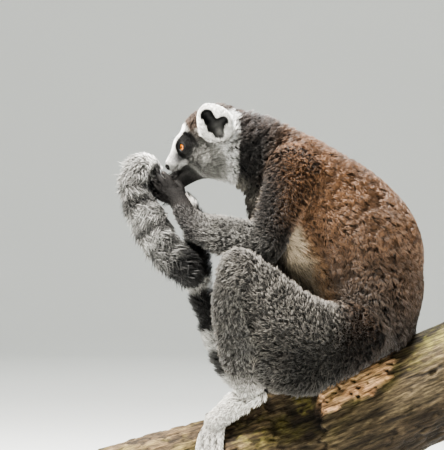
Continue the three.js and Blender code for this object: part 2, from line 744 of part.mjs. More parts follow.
// Lengths of tail, each trimmed by the planes that it shares with its neighbours.
const tailRows = splined(TAIL, 4);
const tailRow = (i) => tailRows[Math.round(i * 4)];
const tailSolids = [],
  tailRooms = [];
for (let n = 0; n < TAIL_CUTS.length - 1; n++) {
  const a = Math.round(TAIL_CUTS[n] * 4),
    b = Math.round(TAIL_CUTS[n + 1] * 4);
  const first = n === 0,
    last = n === TAIL_CUTS.length - 2;
  const rows = tailRows.slice(Math.max(0, a - (first ? 0 : 4)), Math.min(tailRows.length, b + 1 + (last ? 0 : 4)));
  const field = chain(rows, 1);
  const fat = n >= 4;
  let m = solid(thin(meshOf(field, fat ? 6 : 4.6), fat ? 210 : first ? 200 : 150)),
    room = solid(swollen(thin(meshOf(field, fat ? 6 : 4.6), fat ? 210 : first ? 200 : 150), GAP));
  const cut = (i, sign) => {
    const p = at(...tailRows[i].slice(0, 3)),
      q0 = at(...tailRows[Math.max(0, i - 2)].slice(0, 3)),
      q1 = at(...tailRows[Math.min(tailRows.length - 1, i + 2)].slice(0, 3));
    const dir = q1.map((c, k) => sign * (c - q0[k]));
    m = m.subtract(beyond(p, dir, -GAP / 2, 90));
    room = room.subtract(beyond(p, dir, GAP / 2, 90));
  };
  if (!first) cut(a, -1);
  if (!last) cut(b, 1);
  tailSolids.push(largest(m));
  tailRooms.push(largest(room));
}
// ---------------------------------------------------------------- hands, feet, ears, eyes
const hand = (side) => {
  const rows = (r) => (side < 0 ? r : mirrored(r, FAR_SHIFT.arm));
  return blend(2.2, chain(rows(PALM)), ...FINGERS.map((f) => chain(rows(f), 3)));
};
const foot = (side) => {
  const rows = (r) => (side < 0 ? r : mirrored(r, FAR_SHIFT.leg));
  return blend(2.6, chain(rows(FOOT)), ...TOES.map((f) => chain(rows(f), 3)));
};
function earSolid(side) {
  const up = new THREE.Vector3(HEAD_T[0], 0, -HEAD_T[1]),
    back = new THREE.Vector3(-HEAD_F[0], 0, HEAD_F[1]),
    out = new THREE.Vector3(0, side, 0);
  // The ear leans outward at its top and its hollow looks a little forward.
  const tilt = THREE.MathUtils.degToRad(EAR.tilt),
    turn = THREE.MathUtils.degToRad(EAR.turn);
  const t = up.clone().multiplyScalar(Math.cos(tilt)).addScaledVector(out, Math.sin(tilt));
  const o = out.clone().multiplyScalar(Math.cos(tilt)).addScaledVector(up, -Math.sin(tilt));
  const a = back.clone().multiplyScalar(Math.cos(turn)).addScaledVector(o, Math.sin(turn));
  o.multiplyScalar(Math.cos(turn)).addScaledVector(back, -Math.sin(turn));
  const c = headAt(EAR.s, EAR.t, side * EAR.y),
    [rs, rt, ro] = [EAR.r[0] * UNIT, EAR.r[1] * UNIT, EAR.r[2]];
  const ball = (x, y, z, rx, ry, rz) => {
    const k0 = Math.hypot(x / rx, y / ry, z / rz),
      k1 = Math.hypot(x / rx / rx, y / ry / ry, z / rz / rz);
    return k1 < 1e-9 ? -rz : (k0 * (k0 - 1)) / k1;
  };
  const f = (px, py, pz) => {
    const d = [px - c[0], py - c[1], pz - c[2]];
    const x = d[0] * a.x + d[1] * a.y + d[2] * a.z,
      y = d[0] * t.x + d[1] * t.y + d[2] * t.z,
      z = d[0] * o.x + d[1] * o.y + d[2] * o.z;
    // Wider low down and behind, narrower at the tip.
    const wide = 1 - 0.2 * (y / rt);
    const shell = smin(ball(x / wide, y, z, rs, rt, ro), ball(x - 1, y + 15, z + 7, 13, 12, 10), 5);
    const hollow = ball((x - 1) / wide, y - 0.5, z - 6.5, rs - 4.2, rt - 4.2, ro + 1.5);
    return Math.max(shell, -hollow);
  };
  f.box = [c.map((q) => q - 30), c.map((q) => q + 30)];
  return solid(thin(meshOf(f, 2.6), 240));
}
const eyeBall = (side, r) =>
  solidOf(new THREE.SphereGeometry(r, 10, 7), new THREE.Matrix4().setPosition(...headAt(EYE.s, EYE.t, side * EYE.y)));

// ---------------------------------------------------------------- parting the body
const pieces = new Map();
for (const [i, s] of tailSolids.entries()) pieces.set("tail_" + (i + 1), { s: largest(s.subtract(branchRoom)), m: "tail" });
body = body.subtract(branchRoom);
for (const room of tailRooms) body = body.subtract(room);
body = largest(body);

// Takes the share of `from` inside a volume and leaves the rest, with the gap between them.
// The volume may end at a plane: a point and the direction away from it.
function take(from, cutter, end) {
  let inner = solid(cutter),
    outer = solid(swollen(cutter, GAP));
  if (end) {
    inner = inner.subtract(beyond(...end, 0));
    outer = outer.subtract(beyond(...end, GAP));
  }
  return [largest(from.intersect(inner)), largest(from.subtract(outer))];
}
const cutter = (field, grow, h = 8, tris = 420) => thin(meshOf(field, h, grow), tris);
for (const [side, name] of [
  [-1, "left"],
  [1, "right"],
]) {
  const rows = (r, shift = 0) => (side < 0 ? r : mirrored(r, shift));
  const leg = blend(8, chain(rows(THIGH, 3)), chain(rows(HAM, 5)), chain(rows(SHANK, FAR_SHIFT.leg)));
  let limb;
  [limb, body] = take(body, cutter(leg, 5, 9, 170), [at(371, 334, 0), [1, 0, 0.12]]);
  const [shank, thigh] = take(limb, cutter(chain(rows(SHANK, FAR_SHIFT.leg)), 3, 8, 80));
  const ankle = rows(FOOT, FAR_SHIFT.leg)[0];
  const ankleAt = at(ankle[0] - 3, ankle[1] - 5, ankle[2]),
    down = [-0.35, 0, -1];
  pieces.set("thigh_" + name, { s: thigh, m: "limb" });
  pieces.set("shank_" + name, { s: largest(shank.subtract(beyond(ankleAt, down, -GAP / 2))), m: "limb" });
  let f = solid(thin(meshOf(foot(side), 2.4), 380)).subtract(branchRoom);
  f = f.intersect(beyond(ankleAt, down, GAP / 2));
  const thighRoom = solid(swollen(cutter(blend(8, chain(rows(THIGH, 3)), chain(rows(HAM, 5))), 0.8, 8, 150), GAP));
  pieces.set("foot_" + name, { s: largest(f.subtract(thighRoom)), m: "foot" });

  const arm = blend(6, chain(rows(UPPER_ARM)), chain(rows(FOREARM)));
  [limb, body] = take(body, cutter(arm, 4.5, 8, 110));
  const [fore, upper] = take(limb, cutter(chain(rows(FOREARM)), 3, 7, 66));
  const palm = rows(PALM, FAR_SHIFT.arm)[0],
    wristAt = at(palm[0] + 1, palm[1] + 1.5, palm[2]),
    on = at(175, 196, side * 18).map((c, k) => c - wristAt[k]);
  pieces.set("upper_arm_" + name, { s: upper, m: "limb" });
  let foreTrim = fore.subtract(beyond(wristAt, on, -GAP / 2, 120));
  let h = solid(thin(meshOf(hand(side), 2), 350)).intersect(beyond(wristAt, on, GAP / 2, 120));
  for (const room of tailRooms) {
    h = h.subtract(room);
    foreTrim = foreTrim.subtract(room);
  }
  pieces.set("forearm_" + name, { s: largest(foreTrim), m: "limb" });
  pieces.set("hand_" + name, { s: largest(h), m: "hand" });
}
// Head, neck, chest and abdomen.
const headEdge = at(241, 146, 0),
  headDir = [-1, 0, 0.12];
const headOnly = (x, y, z) => Math.max(whole(x, y, z), x + 56, 404 - z);
headOnly.box = [
  [-152, -50, 404],
  [-56, 50, 524],
];
let head = solid(thin(meshOf(headOnly, 3.4), 830));
for (const room of tailRooms) head = head.subtract(room);
head = largest(head.intersect(beyond(headEdge, headDir, GAP / 2)));
let rest = largest(body.subtract(beyond(headEdge, headDir, -GAP / 2)));
const neckEdge = at(264, 152, 0),
  neckDir = [-0.93, 0, 0.36];
const neck = largest(rest.intersect(beyond(neckEdge, neckDir, GAP / 2)));
rest = largest(rest.subtract(beyond(neckEdge, neckDir, -GAP / 2)));
const waist = at(338, 232, 0),
  waistDir = [-0.62, 0, 0.78];
pieces.set("chest", { s: largest(rest.intersect(beyond(waist, waistDir, GAP / 2))), m: "back" });
pieces.set("abdomen", { s: largest(rest.subtract(beyond(waist, waistDir, -GAP / 2))), m: "back" });
pieces.set("neck", { s: neck, m: "back" });
for (const [side, name] of [
  [-1, "left"],
  [1, "right"],
]) {
  head = head.subtract(eyeBall(side, EYE_R + GAP));
  pieces.set("eye_" + name, { s: eyeBall(side, EYE_R), m: "eye" });
  pieces.set("ear_" + name, { s: earSolid(side), m: "ear" });
}
// The head keeps its own surface and the ears start at it.
const skullMesh = thin(meshOf(headField, 5), 260);
for (const name of ["left", "right"]) {
  const e = pieces.get("ear_" + name);
  e.s = largest(e.s.subtract(solid(swollen(skullMesh, GAP - 1.2))));
  head = head.subtract(grown(e.s, GAP));
}
pieces.set("head", { s: largest(head), m: "head" });
pieces.set("perch_branch", { s: branch, m: "branch" });

// ---------------------------------------------------------------- stand
const plate = (() => {
  const { length: l, width: w, thick: t, corner: c } = BASE,
    s = new THREE.Shape();
  s.moveTo(-l / 2 + c, -w / 2);
  s.lineTo(l / 2 - c, -w / 2).absarc(l / 2 - c, -w / 2 + c, c, -Math.PI / 2, 0, false);
  s.lineTo(l / 2, w / 2 - c).absarc(l / 2 - c, w / 2 - c, c, 0, Math.PI / 2, false);
  s.lineTo(-l / 2 + c, w / 2).absarc(-l / 2 + c, w / 2 - c, c, Math.PI / 2, Math.PI, false);
  s.lineTo(-l / 2, -w / 2 + c).absarc(-l / 2 + c, -w / 2 + c, c, Math.PI, 1.5 * Math.PI, false);
  return new THREE.ExtrudeGeometry(s, { depth: t, bevelEnabled: false, curveSegments: 5 });
})();
pieces.set("stand_base", { s: solidOf(plate), m: "base" });
for (const [name, u] of [
  ["stand_rod_front", 205],
  ["stand_rod_back", 398],
]) {
  const x = (u - U0) * UNIT,
    low = BASE.thick + GAP,
    high = 260;
  const rod = solidOf(
    new THREE.CylinderGeometry(ROD_R, ROD_R, high - low, 14).rotateX(Math.PI / 2),
    new THREE.Matrix4().setPosition(x, 0, (low + high) / 2),
  );
  pieces.set(name, { s: rod.subtract(branchRoom).decompose().sort((a, b) => a.boundingBox().min[2] - b.boundingBox().min[2])[0], m: "rod" });
}

// ---------------------------------------------------------------- the scene graph
const material = (color, roughness, metalness = 0) => new THREE.MeshStandardMaterial({ color, roughness, metalness });
const MATERIALS = {
  back: material(0x7a5c47, 0.95),
  limb: material(0x77756f, 0.95),
  head: material(0xd8d5cc, 0.95),
  ear: material(0xeeece6, 0.95),
  tail: material(0x8b8983, 0.95),
  hand: material(0x5a5855, 0.9),
  foot: material(0xd9d7d0, 0.95),
  eye: material(0xc8741a, 0.08),
  branch: material(0x8a7150, 0.9),
  base: material(0x3a2e26, 0.5),
  rod: material(0x4a4a4c, 0.35, 0.9),
};
for (const [name, p] of pieces) if (!/^(stand_|eye_|perch_)/.test(name)) p.s = largest(tidy(p.s));
// What still touches gives way: the first of each pair is cut back by the second.
const order = [...pieces.keys()];
for (const a of order)
  for (const b of order)
    if (a < b && pieces.get(a).s.intersect(pieces.get(b).s).volume() > 0.002) {
      const [soft, hard] = /^(hand|foot|ear|shank|tail_[67])/.test(b) ? [b, a] : [a, b];
      pieces.get(soft).s = largest(pieces.get(soft).s.subtract(grown(pieces.get(hard).s, GAP / 2)));
    }
const lemur = new THREE.Group();
lemur.name = "ring_tailed_lemur";
for (const [name, { s, m }] of pieces) {
  const mesh = s.getMesh(),
    n = mesh.numProp,
    v = new Float32Array(mesh.numVert * 3);
  for (let i = 0; i < mesh.numVert; i++) v.set(mesh.vertProperties.subarray(i * n, i * n + 3), i * 3);
  const g = new THREE.BufferGeometry();
  g.setAttribute("position", new THREE.BufferAttribute(v, 3));
  g.setIndex(new THREE.BufferAttribute(new Uint32Array(mesh.triVerts), 1));
  g.computeVertexNormals();
  const o = new THREE.Mesh(g, MATERIALS[m]);
  o.name = name;
  lemur.add(o);
}
export default lemur;
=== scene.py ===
import math
import time
import bpy
import bmesh
import numpy as np
import openvdb
from mathutils import Vector, Matrix


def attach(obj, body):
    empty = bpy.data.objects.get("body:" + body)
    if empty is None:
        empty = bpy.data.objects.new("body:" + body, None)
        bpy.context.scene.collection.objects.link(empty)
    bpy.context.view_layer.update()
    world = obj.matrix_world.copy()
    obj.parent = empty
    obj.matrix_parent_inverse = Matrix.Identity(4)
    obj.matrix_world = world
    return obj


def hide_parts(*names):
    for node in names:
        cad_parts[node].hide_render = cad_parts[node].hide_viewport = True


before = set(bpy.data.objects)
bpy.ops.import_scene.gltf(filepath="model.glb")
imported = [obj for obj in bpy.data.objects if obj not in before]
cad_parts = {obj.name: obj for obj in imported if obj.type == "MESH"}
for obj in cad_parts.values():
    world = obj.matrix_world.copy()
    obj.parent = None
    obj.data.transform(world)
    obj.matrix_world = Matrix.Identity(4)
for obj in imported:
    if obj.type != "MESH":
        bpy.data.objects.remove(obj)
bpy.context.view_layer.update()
MM = 0.001
T0 = time.time()


def stamp(what):
    print("%6.1f s  %s" % (time.time() - T0, what), flush=True)



# =====================================================================================
# Sizes: the same stations as the CAD part, each with the depth of its coat added (mm).
# =====================================================================================
UNIT, U0, V0 = 1.1, 300.0, 575.0
EYE_R = 7.6
BRANCH_R = 53 * UNIT

# u, v, y in mm, in-plane radius in units, width over height, coat depth in mm
TRUNK = [
    [270, 155, 0, 35, 1.1, 11],
    [300, 178, 0, 45, 1.06, 13],
    [333, 207, 0, 55, 1.0, 15],
    [350, 227, 0, 61, 0.96, 16],
    [364, 247, 0, 62.5, 0.97, 16],
    [369, 270, 0, 59.5, 1.01, 16],
    [371, 292, 0, 56, 1.08, 15],
    [366, 322, 0, 52, 1.14, 13],
]
BELLY = [
    [266, 176, 0, 23, 1.2, 9],
    [275, 208, 0, 30, 1.25, 9],
    [294, 246, 0, 36, 1.2, 10],
    [318, 285, 0, 42, 1.15, 10],
    [335, 322, 0, 42, 1.2, 10],
]
NECK = [[226, 140, 0, 30, 0.95, 7], [249, 145, 0, 34.5, 0.98, 9], [270, 158, 0, 37, 1.06, 11]]
THROAT = [
    [204, 157, 0, 18, 1.2, 5],
    [222, 157.5, 0, 22, 1.12, 6],
    [240, 161, 0, 25, 1.08, 7],
    [259, 171, 0, 26, 1.1, 8],
]
UPPER_ARM = [
    [293, 172, -36, 27, 0.85, 9],
    [284, 196, -45, 25.5, 0.82, 9],
    [274, 222, -52, 22.5, 0.85, 8],
    [265, 242, -54, 20.5, 0.95, 7],
]
FOREARM = [
    [265, 243, -54, 21, 0.95, 7],
    [242, 240, -46, 21.5, 0.88, 6.5],
    [222, 235.5, -39, 20.5, 0.85, 6],
    [205, 230, -32, 17.5, 0.85, 5],
    [192, 222, -26, 13.5, 0.88, 3.5],
    [183, 210, -22, 10.5, 0.9, 1.6],
]
THIGH = [
    [350, 332, -40, 36, 0.85, 11],
    [318, 340, -56, 42, 0.78, 10],
    [284, 324, -68, 41, 0.7, 9],
    [257, 290, -77, 31, 0.75, 7.5],
    [240, 269, -80, 21, 0.95, 6],
]
HAM = [[345, 340, -44, 31, 0.9, 11], [302, 361, -56, 35, 0.85, 10], [274, 361, -58, 29, 0.85, 9]]
SHANK = [
    [238, 269, -80, 21, 0.95, 6],
    [235, 296, -76, 24.5, 0.82, 6],
    [240, 330, -66, 27, 0.78, 6.5],
    [246, 360, -52, 24, 0.8, 6],
    [248, 386, -42, 15, 0.95, 3.5],
]
FOOT = [
    [252, 393, -40, 12, 0.95, 2.6],
    [239, 401, -38, 12.5, 0.9, 2.0],
    [226, 411, -37, 12, 0.95, 1.6],
    [214, 421, -41, 10, 1.1, 1.2],
]
PALM = [[184, 209, -22, 9.8, 0.9, 1.2], [179, 201, -19.5, 9.5, 0.75, 0.9], [173, 194, -17.5, 7.5, 0.75, 0.7]]
FINGERS = [
    [[177, 195, -17, 3.9], [172, 185, -17, 3.6], [168, 178, -14.5, 3.2], [164.5, 174, -9, 2.7]],
    [[173, 195, -17.5, 4.1], [166, 186, -17.5, 3.8], [161, 179, -15, 3.3], [157, 175, -9, 2.8]],
    [[171, 197, -17.5, 4.0], [162, 191, -17, 3.7], [156, 186, -14, 3.2], [152.5, 182, -8, 2.7]],
    [[172, 201, -16, 3.7], [164, 199, -15, 3.4], [158, 196, -11.5, 3.0], [155, 192, -6, 2.6]],
    [[181, 199, -15, 4.0], [182, 190, -13, 3.7], [179, 184.5, -9, 3.3], [175, 181.5, -4, 2.8]],
]
TOES = [
    [[216, 419, -38, 4.6], [207, 426, -44, 4.3], [201, 438, -50, 4.0], [199.5, 450, -58, 3.7], [201, 458, -61.5, 3.2]],
    [[216, 421, -41, 4.6], [210, 430, -46, 4.4], [206.5, 442, -53, 4.1], [206.5, 453, -60, 3.8], [208, 462, -62.5, 3.3]],
    [[218, 422, -42, 4.6], [214.5, 432, -47, 4.4], [213, 443, -53.5, 4.1], [213.5, 453, -60, 3.8], [215, 461, -62.5, 3.3]],
    [[221, 421, -42, 4.4], [220, 431, -47, 4.1], [219.5, 440, -52.5, 3.8], [220.5, 449, -58, 3.5], [222, 456, -61, 3.0]],
    [[235, 405, -28, 6.0], [226, 410.5, -20, 5.4], [217, 413.5, -13, 5.0], [209, 416, -8, 4.2]],
]
TAIL = [
    [398, 326, 0, 13, 1, 6],
    [386, 340, 0, 11, 1, 5],
    [364, 351, 0, 9.5, 1.1, 4.5],
    [340, 362, 0, 9.5, 1.1, 4.5],
    [316, 372, 0, 9.5, 1.1, 4.5],
    [292, 380, 0, 10, 1.1, 5],
    [268, 385, 0, 11, 1, 6],
    [247, 384, 0, 12, 1, 7],
    [231, 372, 0, 13, 1, 8],
    [221, 354, 1, 13.5, 1, 8.5],
    [214, 335, 2, 14, 1, 9],
    [209, 316, 3, 14, 1, 9],
    [203, 300, 4, 14.5, 1, 9.5],
    [199, 284, 5, 15, 1, 10],
    [198, 266, 5, 15.5, 1, 10.5],
    [197, 247, 5, 15, 1, 10],
    [195, 229, 4, 14, 1, 9],
    [191, 214, 3, 13, 1, 8.5],
    [186, 204, 2, 11.5, 1, 7],
    [179, 198, 1, 10, 1, 5.5],
    [170, 193, 0, 9.5, 1, 5],
    [161, 186, 0, 10.5, 1, 6],
    [154, 177, 0, 12.5, 1, 8.5],
    [148, 171, -2, 17, 1, 13],
    [142, 173, -5, 21.5, 1, 18],
    [140, 184, -8, 23.5, 1, 20],
    [142, 200, -11, 25, 1, 21.5],
    [148, 217, -17, 26, 1, 22.5],
    [156, 234, -23, 26, 1, 22.5],
    [167, 250, -27, 24.5, 1, 21.5],
    [180, 262, -30, 20, 1, 17.5],
    [188, 270, -31, 14.5, 1, 12.5],
    [194, 276, -31, 8, 1, 6.5],
]
BRANCH = [[492, 360], [468, 372], [407, 398], [350, 428], [282, 456], [216, 473], [160, 487], [106, 503]]
NOSE = (165.0, 168.0)
HEAD_F = np.array([-0.84, 0.5426])
HEAD_T = np.array([-0.5426, -0.84])
MUZZLE = [[-4.6, -0.8, 0, 4.7, 1.1, 0.6], [-12, -1.2, 0, 9.7, 0.88, 1.0], [-21, -0.5, 0, 13, 0.88, 1.8], [-33, 0, 0, 18, 0.95, 3]]
JAW = [[204, 164.5, 0, 14, 1, 3.5], [192, 172, 0, 10.5, 0.95, 2.2], [182.5, 180, 0, 7.6, 1, 1.4], [177.5, 184, 0, 6, 1.05, 1.0]]
BROW = dict(s=-29.5, t=5.5, y=0, r=(14.5, 15, 17), c=2.0)
CRANIUM = dict(s=-55, t=4, y=0, r=(29, 28, 28), c=4.2)
CHEEK = dict(s=-44, t=-15, y=11, r=(21, 23, 17), c=5.0)
OCCIPUT = dict(s=-73, t=0, y=0, r=(21, 28, 25), c=5.5)
EAR = dict(s=-66, t=13, y=35, r=(18, 22.5, 8.5), tilt=16, turn=12)
EYE = dict(s=-30, t=6.1, y=14.6)
LEG_SHIFT, ARM_SHIFT = 7, -1
FAR = 60.0


def at(u, v, y=0.0):
    return np.array([(u - U0) * UNIT, y, (V0 - v) * UNIT])


def head_uv(s, t):
    return NOSE[0] + s * HEAD_F[0] + t * HEAD_T[0], NOSE[1] + s * HEAD_F[1] + t * HEAD_T[1]


def head_at(s, t, y=0.0):
    return at(*head_uv(s, t), y)


def in_head(rows):
    return [[*head_uv(r[0], r[1]), *r[2:]] for r in rows]


def mirrored(rows, shift=0.0):
    return [[r[0] + shift, r[1], -r[2], *r[3:]] for r in rows]


def digit(rows, coat):
    return [[*r, 1.0, coat] for r in rows]


# the head's own axes in space
AX_F = np.array([HEAD_F[0], 0, -HEAD_F[1]])
AX_T = np.array([HEAD_T[0], 0, -HEAD_T[1]])
NOSE_TIP = head_at(0, 0)


def head_st(X):
    d = X - NOSE_TIP
    return (d @ AX_F) / UNIT, (d @ AX_T) / UNIT


# =====================================================================================
# Seeded noise
# =====================================================================================
def hash3(i, j, k, seed):
    h = (i.astype(np.int64) * 73856093) ^ (j.astype(np.int64) * 19349663) ^ (k.astype(np.int64) * 83492791) ^ (seed * 2654435761)
    h = h & 0xFFFFFFFF
    h = ((h ^ (h >> 16)) * 0x45D9F3B) & 0xFFFFFFFF
    h = ((h ^ (h >> 16)) * 0x45D9F3B) & 0xFFFFFFFF
    h = h ^ (h >> 16)
    return (h & 0xFFFFFF) / float(0x1000000)


def noise(X, size, seed=1):
    """Smooth value noise from -1 to 1 with features about `size` mm across."""
    q = np.asarray(X, float) / size
    i = np.floor(q).astype(np.int64)
    f = q - i
    f = f * f * (3 - 2 * f)
    out = np.zeros(len(q))
    for a in (0, 1):
        wa = f[:, 0] if a else 1 - f[:, 0]
        for b in (0, 1):
            wb = f[:, 1] if b else 1 - f[:, 1]
            for c in (0, 1):
                wc = f[:, 2] if c else 1 - f[:, 2]
                out += wa * wb * wc * hash3(i[:, 0] + a, i[:, 1] + b, i[:, 2] + c, seed)
    return out * 2 - 1


def fbm(X, size, seed=1, n=3):
    out, amp, tot = 0, 1.0, 0
    for k in range(n):
        out = out + amp * noise(X, size / 2**k, seed + 17 * k)
        tot += amp
        amp *= 0.5
    return out / tot


def clump_centres(X, size, seed):
    """For each point, the nearest of a jittered lattice of points, and a random number of its own."""
    q = X / size
    base = np.floor(q).astype(np.int64)
    best = np.full(len(X), 1e9)
    centre = np.zeros_like(X)
    rnd = np.zeros(len(X))
    for a in (-1, 0, 1):
        for b in (-1, 0, 1):
            for c in (-1, 0, 1):
                i, j, k = base[:, 0] + a, base[:, 1] + b, base[:, 2] + c
                p = np.stack([i + hash3(i, j, k, seed), j + hash3(i, j, k, seed + 1), k + hash3(i, j, k, seed + 2)], 1)
                d = ((p - q) ** 2).sum(1)
                m = d < best
                best[m] = d[m]
                centre[m] = p[m] * size
                rnd[m] = hash3(i, j, k, seed + 3)[m]
    return centre, rnd


def smooth(a, b, x):
    t = np.clip((x - a) / (b - a), 0, 1)
    return t * t * (3 - 2 * t)


# =====================================================================================
# Distance fields
# =====================================================================================
def splined(rows, steps=4):
    R = np.array(rows, float)
    n, out = len(R), []
    for i in range(n - 1):
        a, b, d, e = R[max(0, i - 1)], R[i], R[i + 1], R[min(n - 1, i + 2)]
        for k in range(steps):
            t = k / steps
            out.append(0.5 * (2 * b + (d - a) * t + (2 * a - 5 * b + 4 * d - e) * t * t + (3 * b - a - 3 * d + e) * t**3))
    out.append(R[-1])
    return np.array(out)


class Chain:
    def __init__(self, rows, steps=4, inner=False):
        S = splined(rows, steps)
        self.P = np.stack([(S[:, 0] - U0) * UNIT, S[:, 2], (V0 - S[:, 1]) * UNIT], 1)
        self.r = S[:, 3] * UNIT - (S[:, 5] if inner else 0)
        self.k = S[:, 4]
        self.steps = steps
        self.D = np.diff(self.P, axis=0)
        self.inv = 1 / (self.D**2).sum(1)
        tan = np.gradient(self.P, axis=0)
        self.T = tan / np.linalg.norm(tan, axis=1)[:, None]
        self.reach = np.maximum(self.r[:-1], self.r[1:]) * np.maximum(1, np.maximum(self.k[:-1], self.k[1:]))

    def _one(self, X, i):
        q = X - self.P[i]
        t = np.clip((q @ self.D[i]) * self.inv[i], 0, 1)
        q = q - t[:, None] * self.D[i]
        k = self.k[i] + t * (self.k[i + 1] - self.k[i])
        d = np.sqrt(q[:, 0] ** 2 + (q[:, 1] / k) ** 2 + q[:, 2] ** 2) - self.r[i] - t * (self.r[i + 1] - self.r[i])
        return d, t, q

    def __call__(self, X, c=None, rad=0.0):
        best = np.full(len(X), FAR)
        idx = range(len(self.D))
        if c is not None:
            # only the lengths that come near this cell of space
            q = c - self.P[:-1]
            t = np.clip((q * self.D).sum(1) * self.inv, 0, 1)
            gap = np.sqrt(((q - t[:, None] * self.D) ** 2).sum(1)) - self.reach
            idx = np.flatnonzero(gap < rad + 30)
            if not len(idx):
                return best
            if len(idx) * len(X) < 60000:
                q = X[:, None, :] - self.P[idx][None]
                D, inv = self.D[idx], self.inv[idx]
                t = np.clip(np.einsum("nsk,sk->ns", q, D) * inv, 0, 1)
                q = q - t[..., None] * D[None]
                k = self.k[idx] + t * (self.k[idx + 1] - self.k[idx])
                d = np.sqrt(q[..., 0] ** 2 + (q[..., 1] / k) ** 2 + q[..., 2] ** 2) - self.r[idx] - t * (self.r[idx + 1] - self.r[idx])
                return np.minimum(best, d.min(1))
        for i in idx:
            np.minimum(best, self._one(X, i)[0], out=best)
        return best

    def near(self, X):
        """Distance, station number, unit tangent and offset from the axis, of the nearest point of the chain."""
        best = np.full(len(X), 1e9)
        st = np.zeros(len(X))
        tan = np.zeros_like(X)
        off = np.zeros_like(X)
        for i in range(len(self.D)):
            d, t, q = self._one(X, i)
            m = d < best
            best[m] = d[m]
            st[m] = (i + t[m]) / self.steps
            tan[m] = self.T[i] * (1 - t[m])[:, None] + self.T[i + 1] * t[m][:, None]
            off[m] = q[m]
        tan /= np.linalg.norm(tan, axis=1)[:, None] + 1e-9
        return best, st, tan, off


def smin(a, b, k):
    h = np.maximum(k - np.abs(a - b), 0) / k
    return np.minimum(a, b) - h * h * k * 0.25


def ball(X, c, ax, r):
    """An ellipsoid: centre, three unit axes and three radii."""
    q = [((X - c) @ np.asarray(a)) for a in ax]
    k0 = np.sqrt(sum((u / s) ** 2 for u, s in zip(q, r)))
    k1 = np.sqrt(sum((u / s / s) ** 2 for u, s in zip(q, r)))
    return np.where(k1 < 1e-9, -min(r), k0 * (k0 - 1) / np.maximum(k1, 1e-9))


AX_Y = np.array([0.0, 1, 0])
# back, up and out from the middle of the ear, then the three radii (mm)
EAR_LOBES = [
    (-2.4, 11.2, 6.0, 7.0, 6.4, 9.0), (-2.0, 4.4, 6.0, 6.6, 7.0, 9.5), (-1.0, -5.0, 6.0, 9.2, 9.0, 10.5),
    (8.4, -3.6, 6.0, 6.4, 5.8, 8.5), (-2.2, -14.0, 6.0, 5.4, 6.4, 9.0),
]


def head_ball(B, inner, side=1):
    c = head_at(B["s"], B["t"], side * B["y"])
    r = [a * UNIT - (B["c"] if inner else 0) for a in B["r"]]
    return lambda X: ball(X, c, (AX_F, AX_T, AX_Y), r)


def ear_axes(side):
    ti, tu = math.radians(EAR["tilt"]), math.radians(EAR["turn"])
    up, back, out = AX_T, -AX_F, np.array([0, side, 0.0])
    t = up * math.cos(ti) + out * math.sin(ti)
    o = out * math.cos(ti) - up * math.sin(ti)
    a = back * math.cos(tu) + o * math.sin(tu)
    o = o * math.cos(tu) - back * math.sin(tu)
    return a, t, o, head_at(EAR["s"], EAR["t"], side * EAR["y"])


def ear_local(X, side):
    a, t, o, c = ear_axes(side)
    d = X - c
    return d @ a, d @ t, d @ o


def ear_field(X, side, inner):
    """A flattened shell whose hollow is a boot: a lobe near the tip, the long concha, and a lobe reaching back."""
    x, y, z = ear_local(X, side)
    rs, rt, ro = EAR["r"][0] * UNIT, EAR["r"][1] * UNIT - 2.2, EAR["r"][2]
    y = y + 1.8
    e, g = (1.7, 0.0) if inner else (0.0, 1.2)

    def bl(x, y, z, rx, ry, rz):
        k0 = np.sqrt((x / rx) ** 2 + (y / ry) ** 2 + (z / rz) ** 2)
        k1 = np.sqrt((x / rx / rx) ** 2 + (y / ry / ry) ** 2 + (z / rz / rz) ** 2)
        return np.where(k1 < 1e-9, -rz, k0 * (k0 - 1) / np.maximum(k1, 1e-9))

    wide = 1 - 0.2 * np.clip(y / rt, -2, 2)
    shell = smin(bl(x / wide, y, z, rs - e, rt - e, ro - e), bl(x - 1, y + 15, z + 7, 13 - e, 12 - e, 10 - e), 5)
    hollow = FAR
    for cx, cy, cz, rx, ry, rz in EAR_LOBES:
        hollow = smin(hollow, bl(x - cx, y - cy, z - cz, rx - g, ry - g, rz - g), 3.0)
    return np.maximum(shell, -hollow)


EYES = {}
for _side in (-1, 1):
    _fwd = AX_F * math.cos(math.radians(24)) + np.array([0, _side, 0.0]) * math.sin(math.radians(24))
    _fwd = _fwd + AX_T * 0.36
    _fwd /= np.linalg.norm(_fwd)
    _up = AX_T - _fwd * (AX_T @ _fwd)
    _up /= np.linalg.norm(_up)
    EYES[_side] = dict(c=head_at(EYE["s"], EYE["t"], _side * EYE["y"]), f=_fwd, u=_up, r=np.cross(_fwd, _up))


